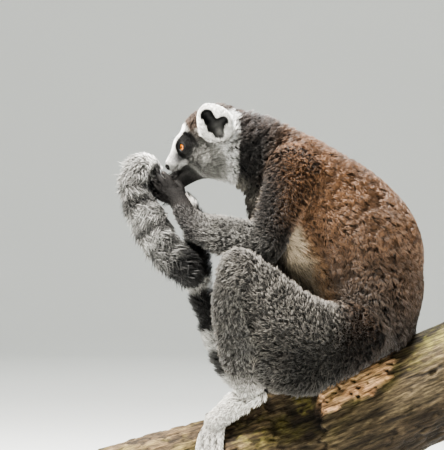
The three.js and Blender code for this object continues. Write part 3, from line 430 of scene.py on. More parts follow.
class Animal:
    """Every part of the animal as a distance field, either its coat's outside or its skin."""

    def __init__(self, inner):
        C = lambda rows, steps=4: Chain(rows, steps, inner)
        self.inner = inner
        self.trunk_c, self.belly_c = C(TRUNK), C(BELLY)
        self.neck_c, self.throat_c = C(NECK), C(THROAT)
        self.muzzle_c, self.jaw_c = C(in_head(MUZZLE)), C(JAW)
        self.balls = {n: head_ball(b, inner) for n, b in (("cranium", CRANIUM), ("brow", BROW), ("occiput", OCCIPUT))}
        self.cheeks = [head_ball(CHEEK, inner, s) for s in (1, -1)]
        self.arms, self.legs, self.hands, self.feet = {}, {}, {}, {}
        for side in (-1, 1):
            near = side < 0
            mv = (lambda rows, k=0: rows) if near else (lambda rows, k=0: mirrored(rows, k))
            self.arms[side] = [C(mv(UPPER_ARM)), C(mv(FOREARM))]
            self.legs[side] = [C(mv(THIGH, 3)), C(mv(HAM, 5)), C(mv(SHANK, LEG_SHIFT))]
            self.hands[side] = [C(mv(PALM, ARM_SHIFT))] + [C(mv(digit(f, 0.7), ARM_SHIFT), 3) for f in FINGERS]
            self.feet[side] = [C(mv(FOOT, LEG_SHIFT))] + [C(mv(digit(f, 1.0), LEG_SHIFT), 3) for f in TOES]
        self.tail_c = C(TAIL)
        self.sh, self.hip = at(290, 170), at(345, 335)

    def head(self, X, c=None, rad=0.0):
        if c is not None and np.linalg.norm(c - head_at(-45, 0)) > rad + 110:
            return np.full(len(X), FAR)
        d = self.balls["cranium"](X)
        m = smin(self.muzzle_c(X, c, rad), self.balls["brow"](X), 4)
        d = smin(d, m, 6)
        k = smin(self.cheeks[0](X), self.cheeks[1](X), 6)
        d = smin(smin(d, k, 6), self.balls["occiput"](X), 6)
        d = smin(d, self.jaw_c(X, c, rad), 3)
        if self.inner:
            s, t = head_st(X)
            y = np.abs(X[:, 1])
            for side in (-1, 1):
                e = EYES[side]
                q = X - e["c"]
                ln = np.sqrt((q**2).sum(1))
                a, b, f = q @ e["r"], q @ e["u"], q @ e["f"]
                # brow ridge and lids round the ball, then the almond opening between them
                d = smin(d, ln - (EYE_R + 1.0), 2.2)
                lid = np.sqrt((a / 4.5) ** 2 + ((b + 0.2) / (3.5 - 0.05 * a * a)) ** 2) - 1
                opening = np.maximum(lid * 3.7, -(f - 4.6))
                d = np.maximum(d, -opening)
            # nostrils: a pit each side of the nose, running back into a slit
            for side in (-1, 1):
                d = np.maximum(d, -ball(X, head_at(-1.3, 0.4, side * 2.1), (AX_F, AX_T, AX_Y), (2.3, 0.95, 1.0)))
                d = np.maximum(d, -ball(X, head_at(-3.4, -0.5, side * 4.1), (AX_F, AX_T, AX_Y), (2.4, 0.55, 1.6)))
            # the line of the mouth and the cleft of the upper lip
            line = np.abs(t + 8.2 + 0.10 * (s + 10) + 0.004 * (s + 14) ** 2) - 0.35
            mouth = np.maximum(line, np.maximum(s + 3.0, -(s + 24)))
            d = np.where((s > -26) & (t < 0), np.maximum(d, np.minimum(-mouth * 1.0, d + 1.1)), d)
            cleft = np.maximum(y - 0.35, np.maximum(-(t + 8), t + 1.2))
            d = np.where(s > -6, np.maximum(d, np.minimum(-cleft, d + 0.8)), d)
        return d

    def limb(self, cs, X, k, c, rad):
        d = cs[0](X, c, rad)
        for q in cs[1:]:
            d = smin(d, q(X, c, rad), k)
        return d

    def parts(self, X, c=None, rad=0.0):
        out = {}
        out["trunk"] = smin(self.trunk_c(X, c, rad), self.belly_c(X, c, rad), 14)
        out["neck"] = smin(self.neck_c(X, c, rad), self.throat_c(X, c, rad), 8)
        out["head"] = self.head(X, c, rad)
        for side in (-1, 1):
            n = "l" if side < 0 else "r"
            out["arm_" + n] = self.limb(self.arms[side], X, 6, c, rad)
            out["leg_" + n] = self.limb(self.legs[side], X, 8, c, rad)
            out["hand_" + n] = self.limb(self.hands[side], X, 2.2, c, rad)
            out["foot_" + n] = self.limb(self.feet[side], X, 1.6, c, rad)
            if c is not None and np.linalg.norm(c - ear_axes(side)[3]) > rad + 60:
                out["ear_" + n] = np.full(len(X), FAR)
            else:
                out["ear_" + n] = ear_field(X, side, self.inner)
        out["tail"] = self.tail_c(X, c, rad)
        return out

    def __call__(self, X, c=None, rad=0.0):
        p = self.parts(X, c, rad)
        d = smin(p["trunk"], p["neck"], 7)
        d = smin(d, p["head"], 7)
        near = lambda q, r: np.maximum(0, 1 - np.hypot(X[:, 0] - q[0], X[:, 2] - q[2]) / r)
        ka, kl = 1.5 + 14 * near(self.sh, 75), 1.5 + 16 * near(self.hip, 90)
        left = X[:, 1] < 0
        d = smin(d, np.where(left, p["arm_l"], p["arm_r"]), ka)
        d = smin(d, np.where(left, p["leg_l"], p["leg_r"]), kl)
        for n in ("l", "r"):
            d = smin(d, p["ear_" + n], 2.5 if self.inner else 1.0)
            d = smin(d, p["foot_" + n], 3.0)
            d = smin(d, p["hand_" + n], 1.6)
        rump = 1.5 + 9 * np.maximum(0, 1 - np.hypot(X[:, 0] - at(396, 326)[0], X[:, 2] - at(396, 326)[2]) / 45)
        d = smin(d, p["tail"], rump if self.inner else 1.0)
        # the animal sits on the branch and doesn't sink into it
        return np.maximum(d, -(branch_field(X, c, rad) - (0.9 if self.inner else 0.3)))


class BranchLine(Chain):
    def __init__(self):
        R = np.array([[u, v] for u, v in BRANCH], float)
        rows = [[u, v, 0, BRANCH_R / UNIT, 1.0, 0] for u, v in R]
        super().__init__(rows, 6)


BRANCH_C = BranchLine()


def branch_field(X, c=None, rad=0.0):
    return BRANCH_C(X, c, rad)


SKIN, COAT = Animal(True), Animal(False)


def grouped(fn, X, cell=28.0):
    """Evaluates a field at loose points, a small cell of space at a time."""
    key = np.floor(X / cell).astype(np.int64)
    code = (key[:, 0] + 512) * 1048576 + (key[:, 1] + 512) * 1024 + key[:, 2] + 512
    order = np.argsort(code, kind="stable")
    cuts = np.flatnonzero(np.diff(code[order])) + 1
    out = np.empty(len(X))
    for g in np.split(order, cuts):
        c = (key[g[0]] + 0.5) * cell
        out[g] = fn(X[g], c, cell * 0.87)
    return out


class Grid:
    """A field sampled on a regular lattice over the whole animal, with its slope."""

    def __init__(self, fn, lo, hi, h, B=14):
        self.lo, self.h = np.array(lo, float), h
        n = np.ceil((np.array(hi) - lo) / h).astype(int) + 1
        self.n = n
        A = np.full(n, FAR, np.float32)
        ax = [self.lo[k] + h * np.arange(n[k]) for k in range(3)]
        for i in range(0, n[0], B):
            for j in range(0, n[1], B):
                for k in range(0, n[2], B):
                    x, y, z = ax[0][i:i + B], ax[1][j:j + B], ax[2][k:k + B]
                    c = np.array([(x[0] + x[-1]) / 2, (y[0] + y[-1]) / 2, (z[0] + z[-1]) / 2])
                    rad = 0.5 * math.sqrt((x[-1] - x[0]) ** 2 + (y[-1] - y[0]) ** 2 + (z[-1] - z[0]) ** 2)
                    X = np.stack(np.meshgrid(x, y, z, indexing="ij"), -1).reshape(-1, 3)
                    A[i:i + B, j:j + B, k:k + B] = fn(X, c, rad).reshape(len(x), len(y), len(z))
        self.A = A

    def slopes(self):
        self.G = np.stack(np.gradient(self.A, self.h), -1).astype(np.float32)

    def _mix(self, X):
        q = (X - self.lo) / self.h
        q = np.clip(q, 0.001, self.n - 1.001)
        i = q.astype(int)
        return i, q - i

    def sample(self, X, what=None):
        A = self.A if what is None else what
        i, f = self._mix(X)
        out = 0
        for a in (0, 1):
            wa = f[:, 0] if a else 1 - f[:, 0]
            for b in (0, 1):
                wb = f[:, 1] if b else 1 - f[:, 1]
                for c in (0, 1):
                    w = wa * wb * (f[:, 2] if c else 1 - f[:, 2])
                    v = A[i[:, 0] + a, i[:, 1] + b, i[:, 2] + c]
                    out = out + (w[:, None] * v if v.ndim > 1 else w * v)
        return out

    def normal(self, X):
        g = self.sample(X, self.G)
        return g / (np.linalg.norm(g, axis=1)[:, None] + 1e-9)


# =====================================================================================
# Making meshes from arrays
# =====================================================================================
def lin(r, g, b):
    """An sRGB colour, 0 to 255, as linear light."""
    c = np.array([r, g, b], float) / 255
    return np.where(c <= 0.04045, c / 12.92, ((c + 0.055) / 1.055) ** 2.4)


def mesh_object(name, co, faces_by_size, smooth_faces=True):
    """co in mm. faces_by_size is a list of integer arrays, each (n, 3) or (n, 4)."""
    me = bpy.data.meshes.new(name)
    co = np.asarray(co, np.float32) * MM
    me.vertices.add(len(co))
    me.vertices.foreach_set("co", co.reshape(-1))
    idx = np.concatenate([f.reshape(-1) for f in faces_by_size]).astype(np.int32)
    size = np.concatenate([np.full(len(f), f.shape[1], np.int32) for f in faces_by_size])
    start = np.concatenate([[0], np.cumsum(size)[:-1]]).astype(np.int32)
    me.loops.add(len(idx))
    me.loops.foreach_set("vertex_index", idx)
    me.polygons.add(len(size))
    me.polygons.foreach_set("loop_start", start)
    me.polygons.foreach_set("use_smooth", np.full(len(size), smooth_faces, bool))
    me.update(calc_edges=True)
    me.validate()
    ob = bpy.data.objects.new(name, me)
    bpy.context.scene.collection.objects.link(ob)
    return ob


def set_tone(me, rgb, name="tone"):
    a = me.color_attributes.new(name=name, type="FLOAT_COLOR", domain="POINT")
    full = np.ones((len(rgb), 4), np.float32)
    full[:, :3] = np.clip(rgb, 0, 1)
    a.data.foreach_set("color", full.reshape(-1))


def set_value(me, v, name):
    a = me.attributes.new(name=name, type="FLOAT", domain="POINT")
    a.data.foreach_set("value", np.asarray(v, np.float32))


def set_uv(me, uv_per_vertex, name="OFBake"):
    layer = me.uv_layers.new(name=name)
    idx = np.empty(len(me.loops), np.int32)
    me.loops.foreach_get("vertex_index", idx)
    layer.data.foreach_set("uv", uv_per_vertex[idx].astype(np.float32).reshape(-1))


# =====================================================================================
# Materials
# =====================================================================================
def new_material(name):
    m = bpy.data.materials.new(name)
    m.use_nodes = True
    nt = m.node_tree
    return m, nt, nt.nodes["Principled BSDF"]


def fur_material(name, rough=0.62, sheen=0.25, vary=0.22, scale=900.0, spec=0.35):
    m, nt, bsdf = new_material(name)
    tone = nt.nodes.new("ShaderNodeAttribute")
    tone.attribute_name = "tone"
    tc = nt.nodes.new("ShaderNodeTexCoord")
    n = nt.nodes.new("ShaderNodeTexNoise")
    n.inputs["Scale"].default_value = scale
    n.inputs["Detail"].default_value = 2.0
    nt.links.new(tc.outputs["Object"], n.inputs["Vector"])
    ramp = nt.nodes.new("ShaderNodeMapRange")
    ramp.inputs["From Min"].default_value = 0.3
    ramp.inputs["From Max"].default_value = 0.7
    ramp.inputs["To Min"].default_value = 1.0 - vary
    ramp.inputs["To Max"].default_value = 1.0 + vary
    nt.links.new(n.outputs["Fac"], ramp.inputs["Value"])
    mix = nt.nodes.new("ShaderNodeVectorMath")
    mix.operation = "SCALE"
    nt.links.new(tone.outputs["Color"], mix.inputs[0])
    nt.links.new(ramp.outputs["Result"], mix.inputs["Scale"])
    nt.links.new(mix.outputs["Vector"], bsdf.inputs["Base Color"])
    bsdf.inputs["Roughness"].default_value = rough
    bsdf.inputs["Specular IOR Level"].default_value = spec
    bsdf.inputs["Sheen Weight"].default_value = sheen
    bsdf.inputs["Sheen Roughness"].default_value = 0.5
    return m


def skin_material(name, leather):
    m, nt, bsdf = new_material(name)
    tone = nt.nodes.new("ShaderNodeAttribute")
    tone.attribute_name = "tone"
    tc = nt.nodes.new("ShaderNodeTexCoord")
    n = nt.nodes.new("ShaderNodeTexNoise")
    n.inputs["Scale"].default_value = 420.0 if leather else 700.0
    n.inputs["Detail"].default_value = 4.0
    nt.links.new(tc.outputs["Object"], n.inputs["Vector"])
    ramp = nt.nodes.new("ShaderNodeMapRange")
    ramp.inputs["From Min"].default_value = 0.3
    ramp.inputs["From Max"].default_value = 0.7
    ramp.inputs["To Min"].default_value = 0.8 if leather else 0.62
    ramp.inputs["To Max"].default_value = 1.2 if leather else 1.3
    nt.links.new(n.outputs["Fac"], ramp.inputs["Value"])
    mix = nt.nodes.new("ShaderNodeVectorMath")
    mix.operation = "SCALE"
    nt.links.new(tone.outputs["Color"], mix.inputs[0])
    nt.links.new(ramp.outputs["Result"], mix.inputs["Scale"])
    nt.links.new(mix.outputs["Vector"], bsdf.inputs["Base Color"])
    vor = nt.nodes.new("ShaderNodeTexVoronoi")
    vor.inputs["Scale"].default_value = 650.0 if leather else 1100.0
    vor.feature = "DISTANCE_TO_EDGE" if leather else "F1"
    nt.links.new(tc.outputs["Object"], vor.inputs["Vector"])
    bump = nt.nodes.new("ShaderNodeBump")
    bump.inputs["Strength"].default_value = 0.5 if leather else 0.7
    bump.inputs["Distance"].default_value = 0.0004
    nt.links.new(vor.outputs["Distance"], bump.inputs["Height"])
    nt.links.new(bump.outputs["Normal"], bsdf.inputs["Normal"])
    bsdf.inputs["Roughness"].default_value = 0.55 if leather else 0.8
    bsdf.inputs["Specular IOR Level"].default_value = 0.2 if leather else 0.25
    return m


# =====================================================================================
# The markings, shared by the skin and the coat, with painted shade in several of them
# =====================================================================================
BLACK = lin(11, 10, 10)
C = dict(
    back=lin(156, 115, 81),
    # lower back: a duller brown darkened as painted shade, then a near-black brown that is painted shade only
    back_low_and_shade=lin(92, 71, 54),
    back_shade=lin(44, 34, 27),
    flank=lin(94, 82, 71),
    shoulder=lin(92, 74, 61),
    neck=lin(74, 63, 57),
    # near-black: painted shade on the side of the neck under the head
    neck_side_shade=lin(30, 27, 25),
    belly=lin(226, 208, 182),
    belly_edge=lin(160, 124, 88),
    chest=lin(126, 122, 114),
    arm=lin(104, 102, 98),
    wrist=lin(66, 63, 61),
    # the upper arm's grey-brown, darkened as painted shade
    upper_arm_and_shade=lin(58, 51, 46),
    leg=lin(114, 110, 104),
    leg_low_shade=lin(48, 45, 41),
    shin=lin(98, 95, 90),
    foot=lin(238, 235, 228),
    hand=lin(29, 27, 26),
    leather=lin(20, 18, 17),
    crown=lin(70, 58, 50),
    white=lin(252, 250, 245),
    cheek=lin(168, 167, 160),
    cheek_dark=lin(104, 103, 97),
    muzzle=lin(214, 213, 210),
    nose=lin(16, 15, 15),
    tail_white=lin(232, 230, 225),
    tail_grey=lin(150, 149, 146),
)


def lerp(a, b, t):
    return a + (b - a) * np.asarray(t)[:, None]


def uv_of(X):
    return X[:, 0] / UNIT + U0, V0 - X[:, 2] / UNIT


def blob(u, v, cu, cv, ru, rv, soft=0.35):
    d = np.sqrt(((u - cu) / ru) ** 2 + ((v - cv) / rv) ** 2)
    return 1 - smooth(1 - soft, 1 + soft, d)


LABELS = ["trunk", "neck", "head", "arm", "leg", "hand", "foot", "ear", "tail"]


def labels_of(X):
    """The part each point of the skin belongs to, and its side."""
    key = np.floor(X / 28.0).astype(np.int64)
    code = (key[:, 0] + 512) * 1048576 + (key[:, 1] + 512) * 1024 + key[:, 2] + 512
    order = np.argsort(code, kind="stable")
    cuts = np.flatnonzero(np.diff(code[order])) + 1
    D = np.full((len(X), len(LABELS)), 1e9)
    for g in np.split(order, cuts):
        c = (key[g[0]] + 0.5) * 28.0
        p = SKIN.parts(X[g], c, 28 * 0.87)
        left = X[g][:, 1] < 0
        for i, n in enumerate(LABELS):
            D[g, i] = p[n] if n in p else np.where(left, p[n + "_l"], p[n + "_r"])
    D[:, LABELS.index("head")] += 0.4
    D[:, LABELS.index("trunk")] += 1.0
    return D.argmin(1), D


TAIL_BANDS = [
    # station where it starts, where it ends, how dark (1 is black)
    (0.0, 2.6, 0.35), (2.6, 4.0, 0.9), (4.0, 5.4, 0.12), (5.4, 6.8, 0.9), (6.8, 7.9, 0.12), (7.9, 9.05, 0.9),
    (9.05, 10.05, 0.06), (10.05, 12.15, 0.98), (12.15, 13.0, 0.08), (13.0, 15.15, 0.98), (15.15, 15.85, 0.1),
    (15.85, 17.1, 0.97), (17.1, 18.7, 0.1), (18.7, 20.1, 0.97), (20.1, 21.6, 0.1), (21.6, 22.5, 0.8),
    (22.5, 24.4, 0.08), (24.4, 24.85, 0.75), (24.85, 25.75, 0.06), (25.75, 26.15, 0.78), (26.15, 27.0, 0.06),
    (27.0, 27.4, 0.75), (27.4, 28.2, 0.1), (28.2, 28.65, 0.8), (28.65, 29.25, 0.35), (29.25, 33.0, 0.98),
]


def band_of(st):
    out = np.zeros(len(st))
    for a, b, k in TAIL_BANDS:
        w = smooth(a - 0.14, a + 0.14, st) * (1 - smooth(b - 0.14, b + 0.14, st))
        out += w * k
    return np.clip(out, 0, 1)


def paint(X, N, lab, D, st=None):
    """The colour of the coat's tips at points of the skin, and how much of it is bare leather."""
    u, v = uv_of(X)
    y = np.abs(X[:, 1])
    n = len(X)
    grain = fbm(X, 26, 5)
    u2, v2 = u + 5 * grain, v + 5 * fbm(X, 30, 9)
    # ---- trunk
    brown = smooth(254, 292, u2 - 0.06 * (v2 - 150))
    # painted shade: the back darkens downwards, to near-black on the lower back
    low = smooth(150, 312, v2)
    back = lerp(np.tile(C["back"], (n, 1)), C["back_low_and_shade"], low)
    back = lerp(back, C["back_shade"], smooth(272, 335, v2) * 0.85)
    grey = smooth(244, 318, v2) * (1 - smooth(346, 398, u2))
    back = lerp(back, C["flank"], grey * 0.75)
    trunk = lerp(np.tile(C["shoulder"], (n, 1)), back, brown)
    # belly: in front of a line from the armpit to the groin, warmer along its edge, and darker lower down as painted
    # shade
    edge = (u2 - 298) - (v2 - 230) * 0.42
    belly = (1 - smooth(-9, 5, edge)) * smooth(205, 232, v2)
    trunk = lerp(trunk, C["belly_edge"], (1 - smooth(-4, 16, edge)) * smooth(215, 240, v2) * 0.8)
    trunk = lerp(trunk, lerp(np.tile(C["belly"], (n, 1)), lin(112, 101, 84), smooth(243, 268, v2)), belly)
    # painted shadow of the arm on the belly, next to the elbow
    trunk = lerp(trunk, lin(70, 62, 55), (1 - smooth(278, 286, u2 - 0.25 * (v2 - 245))) * smooth(200, 225, v2))
    chest = (1 - smooth(-0.5, -0.1, N[:, 0])) * (1 - smooth(200, 235, v2)) * (1 - smooth(14, 30, y))
    trunk = lerp(trunk, C["chest"], chest * (u < 300))
    # painted shade: the front of the shoulder beside the chest made dark
    shoulder_shade = (1 - smooth(262, 290, u2)) * (1 - smooth(225, 250, v2))
    trunk = lerp(trunk, C["upper_arm_and_shade"], shoulder_shade * (1 - chest))
    # ---- neck
    # painted shade: the neck darkens downwards to near-black under the head
    neck = lerp(np.tile(C["neck"], (n, 1)), C["neck_side_shade"], smooth(122, 150, v2))
    neck = lerp(neck, C["shoulder"], smooth(256, 284, u2))
    throat = (1 - smooth(12, 26, y)) * (1 - smooth(-0.75, -0.35, N[:, 2]))
    neck = lerp(neck, C["chest"], throat * (1 - smooth(243, 262, u2)))
    above = v - np.interp(u, [200, 208, 222, 229, 234, 238, 240, 300], [96, 104.5, 108.5, 112.5, 117.5, 123, 129, 215])
    neck = lerp(neck, C["white"] * 0.92, (1 - smooth(234.5, 238, u + 1.5 * grain)) * smooth(-0.4, 1.6, above))
    # ---- head, in its own frame
    s, t = head_st(X)
    s2, t2 = s + 1.2 * noise(X, 7, 3), t + 1.2 * noise(X, 7, 4)
    head = np.tile(C["white"], (n, 1))
    # cheek: grey and speckled in front, with painted shade low in front; paler below and behind
    cheekm = blob(s2, t2, -41, 1, 13, 13, 0.5) * smooth(8, 14, y)
    head = lerp(head, C["cheek_dark"] * 0.72, cheekm * 0.9)
    front = blob(s2, t2, -29, -8, 11, 7, 0.5) * smooth(8, 14, y)
    head = lerp(head, lin(70, 69, 65), front * 0.8)
    cheekl = blob(s2, t2, -50, -17, 22, 12, 0.5) * smooth(4, 10, y)
    head = lerp(head, C["cheek"], cheekl * 0.6)
    # crown: a cap from the brow to the nape, wider behind the ears
    crown = smooth(11.5, 15.5, t2 - 0.05 * (s2 + 45)) * smooth(37.5, 41.5, -s2) * (1 - smooth(23, 30, y - 16 * smooth(68, 84, -s2)))
    head = lerp(head, lin(96, 86, 78), 0.7 * blob(s2, t2, -44.5, 15, 6, 9, 0.5) * smooth(8, 14, y))
    head = lerp(head, C["crown"], np.maximum(crown, (1 - smooth(-0.6, 1.4, above)) * smooth(199, 204, u)))
    # painted shade: the underside of the head behind the jaw greyed
    head = lerp(head, lin(92, 92, 86), 0.8 * smooth(150, 166, v) * smooth(196, 208, u))
    head = lerp(head, C["muzzle"], smooth(-24, -17, s2) * 0.8)
    head = lerp(head, lin(112, 112, 116), 0.75 * blob(s2, t2, -18, 1.5, 8, 4.5, 0.5) * smooth(3, 7, y))
    # the lower lip and chin are dark in front and grey behind: dark lips, with painted shade under the muzzle and jaw
    under = (1 - smooth(-9.5, -7.0, t2)) * smooth(-38, -25, s2)
    head = lerp(head, lin(30, 28, 27), under * 0.95)
    # dark patch round each eye, with a point running down towards the muzzle
    for side in (-1, 1):
        e = EYES[side]
        q = X - e["c"]
        rr = np.sqrt((q**2).sum(1)) / 13.8 + 0.07 * noise(X, 4, 6)
        patch = (1 - smooth(0.93, 1.07, rr)) * smooth(3.6, 6.6, side * X[:, 1])
        head = lerp(head, BLACK, patch)
        tear = (1 - smooth(0.7, 1.2, np.sqrt(((s + 20) / 5.5) ** 2 + ((t - 0.2) / 3.6) ** 2))) * smooth(5.5, 8.5, side * X[:, 1])
        head = lerp(head, BLACK, tear * 0.6)
    nose = 1 - smooth(0.85, 1.1, np.sqrt(((s + 0.6) / 4.4) ** 2 + ((t + 0.3) / 4.2) ** 2))
    head = lerp(head, C["nose"], nose)
    # the nape takes the neck's colours, with the same painted shade lower down
    nape = smooth(234.5, 238, u + 1.5 * grain)
    head = lerp(head, lerp(np.tile(C["neck"], (n, 1)), C["neck_side_shade"], smooth(118, 140, v2)), nape)
    # ---- limbs
    inner_side = smooth(0.0, 0.6, -N[:, 1] * np.sign(X[:, 1]))
    # the upper arm's colour carries painted shade
    uarm = lerp(np.tile(C["upper_arm_and_shade"], (n, 1)), C["back"] * 0.72, smooth(268, 302, u2) * (1 - smooth(212, 240, v2)))
    # painted shade: the forearm darkens towards the wrist and hand
    fore = lerp(np.tile(C["arm"], (n, 1)), C["wrist"], 1 - smooth(188, 216, u2))
    arm = lerp(uarm, fore, 1 - smooth(246, 276, u2 - 0.5 * (v2 - 236)))
    arm = lerp(arm, C["belly"] * 0.8, inner_side * 0.5)
    # painted shade: the lower back of the thigh darkens
    leg = lerp(np.tile(C["leg"], (n, 1)), C["leg_low_shade"], smooth(300, 372, v2) * smooth(255, 300, u2) * 0.9)
    leg = lerp(leg, C["shin"], (1 - smooth(244, 262, u2)) * smooth(268, 300, v2))
    leg = lerp(leg, C["belly"], inner_side * 0.7 * smooth(0, 1, (y < 60) * 1.0))
    pale = (1 - smooth(9, 16, np.abs(u2 - 262))) * smooth(350, 362, v2) * smooth(0.1, 0.6, N[:, 0])
    leg = lerp(leg, C["belly"] * 0.8, pale * 0.6)
    # the hip takes the lower back's colours, painted shade included
    leg = lerp(leg, lerp(np.tile(C["back_low_and_shade"], (n, 1)), C["back_shade"], smooth(300, 350, v2)), smooth(326, 356, u2 + 0.12 * (v2 - 330)))
    leg = lerp(leg, C["foot"], smooth(364, 388, v2) * (1 - smooth(256, 270, u2)))
    # the hand's fur is near-black: the dark hand with painted shade over it
    hand = np.tile(C["hand"], (n, 1))
    # palms are bare and dark: the side towards the tail
    palm = smooth(0.15, 0.5, -N[:, 1] * np.sign(X[:, 1]) + 0.1)
    hand = lerp(hand, C["leather"], palm)
    foot = np.tile(C["foot"], (n, 1))
    # painted shade: the sides of the toes and thin lines between them darker
    foot = lerp(foot, lin(74, 68, 63), smooth(0.5, 0.92, np.abs(N[:, 0])) * smooth(420, 428, v) * smooth(200.5, 202.5, u) * (1 - smooth(217, 220, u)) * 0.85)
    for cut in (204.0, 209.9, 216.4):
        foot = lerp(foot, lin(52, 47, 44), np.exp(-(((u - cut - (v - 440) * 0.04) / 0.85) ** 2)) * smooth(425, 432, v) * 0.9)
    sole = smooth(0.2, 0.55, -(branch_dot(X, N)))
    foot = lerp(foot, C["leather"], sole)
    # ---- ear: white outside, dark inside the hollow: dark skin with painted shade in the recess, near-black
    ear = np.tile(C["white"], (n, 1))
    hollow = np.zeros(n)
    for side in (-1, 1):
        x1, y1, z1 = ear_local(X, side)
        m = X[:, 1] * side > 0
        inside = np.min([np.sqrt(((x1 - c[0]) / (c[3] + 1.0)) ** 2 + ((y1 + 1.8 - c[1]) / (c[4] + 1.0)) ** 2) for c in EAR_LOBES], axis=0)
        h = (1 - smooth(0.9, 1.04, inside)) * smooth(-14, -9, z1)
        hollow = np.where(m, h, hollow)
    ear = lerp(ear, lin(6, 6, 6), hollow)
    head = lerp(head, lin(6, 6, 6), hollow)
    # ---- tail
    tail = np.tile(C["tail_white"], (n, 1))
    if st is not None:
        band = band_of(st + 0.10 * noise(X, 6, 8))
        tail = lerp(tail, C["tail_grey"], smooth(22.0, 23.5, st) * 0.25)
        hang = smooth(22, 24, st)
        # painted shade: dark streaks for the gaps between locks on the hanging tail
        tail = lerp(tail, lin(66, 64, 62), smooth(0.02, 0.34, fbm(X, 11, 61)) * hang * 0.8)
        # painted shade: the hanging tail's lower part, towards the body, darker
        tail = lerp(tail, tail * 0.32, smooth(158, 190, u) * smooth(212, 250, v) * hang)
        tail = lerp(tail, lin(22, 20, 20), band)
        tail = lerp(tail, C["shoulder"], 1 - smooth(0.2, 2.0, st))
    all_ = np.stack([trunk, neck, head, arm, leg, hand, foot, ear, tail], 1)
    # soft borders between the parts
    W = np.exp(-np.clip(D - D.min(1)[:, None], 0, 50) / np.array([3.2, 3.2, 1.6, 2.6, 2.6, 1.0, 1.6, 0.7, 0.8]))
    W[:, 8] *= np.where(lab == 8, 1, 0.0)
    W[np.arange(n), lab] = 1.0
    W /= W.sum(1)[:, None]
    tip = (all_ * W[:, :, None]).sum(1)
    bare = np.zeros(n)
    bare = np.where(lab == 2, np.maximum(nose, 0), bare)
    bare = np.where(lab == 5, palm, bare)
    bare = np.where(lab == 6, sole, bare)
    bare = np.where((lab == 7) | (lab == 2), np.maximum(bare, hollow), bare)
    for side in (-1, 1):
        e = EYES[side]
        q = X - e["c"]
        rim = np.sqrt(((q @ e["r"]) / 4.9) ** 2 + ((q @ e["u"]) / 4.0) ** 2)
        bare = np.maximum(bare, (1 - smooth(1.25, 1.5, rim)) * (q @ e["f"] > 2))
    speck = 1 + 0.10 * fbm(X, 12, 21) + 0.08 * noise(X, 3.0, 22)
    return np.clip(tip * speck[:, None], 0, 1), np.clip(bare, 0, 1)


def branch_dot(X, N):
    """How far a normal points away from the branch, 1 straight away and -1 at it."""
    _, _, _, off = BRANCH_C.near(X)
    off = off / (np.linalg.norm(off, axis=1)[:, None] + 1e-9)
    return (off * N).sum(1)


# =====================================================================================
# The skin
# =====================================================================================
LO, HI, STEP = np.array([-218.0, -112, 92]), np.array([152.0, 112, 530]), 2.6
GS = Grid(SKIN, LO, HI, STEP)
GC = Grid(COAT, LO, HI, STEP)
GS.slopes()


stamp("fields")


def iso_quads(grid):
    g = openvdb.FloatGrid(FAR)
    g.copyFromArray(grid.A)
    p, q = g.convertToQuads(0.0)
    return p.astype(float) * grid.h + grid.lo, q.astype(np.int64)


def drop_crumbs(p, q):
    """Keeps the largest connected piece."""
    parent = np.arange(len(p))
    a = q.reshape(-1)
    b = np.roll(q, -1, axis=1).reshape(-1)
    for _ in range(400):
        m = np.minimum(parent[a], parent[b])
        old = parent.copy()
        np.minimum.at(parent, a, m)
        np.minimum.at(parent, b, m)
        parent = parent[parent]
        if (old == parent).all():
            break
    root = np.bincount(parent, minlength=len(p)).argmax()
    keep = parent == root
    new = np.cumsum(keep) - 1
    return p[keep], new[q[keep[q].all(1)]]


def fine_zone(X):
    """Two where the mesh is refined twice, the face; one where it is refined once: ears, hands and feet."""
    s, t = head_st(X)
    z = np.zeros(len(X), int)
    face = (s > -44) & (s < 12) & (t > -26) & (t < 24) & (np.abs(X[:, 1]) < 34) & (X[:, 2] > 400)
    z[face] = 2
    for side in (-1, 1):
        c = ear_axes(side)[3]
        z[(np.linalg.norm(X - c, axis=1) < 27)] = 1
    u, v = uv_of(X)
    z[(u < 190) & (u > 147) & (v > 170) & (v < 214) & (np.abs(X[:, 1]) < 30)] = 1
    z[(v > 404) & (u < 246)] = 1
    return z


def project(X, steps=2, cap=1.1, e=0.25):
    """Moves points onto the exact skin."""
    X = X.copy()
    for _ in range(steps):
        d = grouped(SKIN, X)
        g = np.stack([grouped(SKIN, X + e * np.eye(3)[k]) - d for k in range(3)], 1) / e
        g2 = np.maximum((g**2).sum(1), 0.25)
        m = -(d / g2)[:, None] * g
        ln = np.linalg.norm(m, axis=1)
        m *= np.minimum(1, cap / np.maximum(ln, 1e-9))[:, None]
        X += m
    return X


_p, _q = iso_quads(GS)
_p, _q = drop_crumbs(_p, _q)
stamp("quads")
_ob = mesh_object("skin", _p, [_q])
_bm = bmesh.new()
_bm.from_mesh(_ob.data)
for _level in (1, 2):
    _bm.faces.ensure_lookup_table()
    _c = np.array([f.calc_center_median() for f in _bm.faces]) / MM
    _z = fine_zone(_c)
    _edges = {e for f, z in zip(_bm.faces, _z) if z >= _level for e in f.edges}
    bmesh.ops.subdivide_edges(_bm, edges=list(_edges), cuts=1, use_grid_fill=True)
bmesh.ops.triangulate(_bm, faces=[f for f in _bm.faces if len(f.verts) > 4])
_bm.to_mesh(_ob.data)
_bm.free()
stamp("subdivided")
skin = _ob
_me = skin.data
_co = np.empty(len(_me.vertices) * 3, np.float32)
_me.vertices.foreach_get("co", _co)
_X = _co.reshape(-1, 3).astype(float) / MM
_X = project(_X, 2)
_me.vertices.foreach_set("co", (_X * MM).astype(np.float32).reshape(-1))
_me.update()
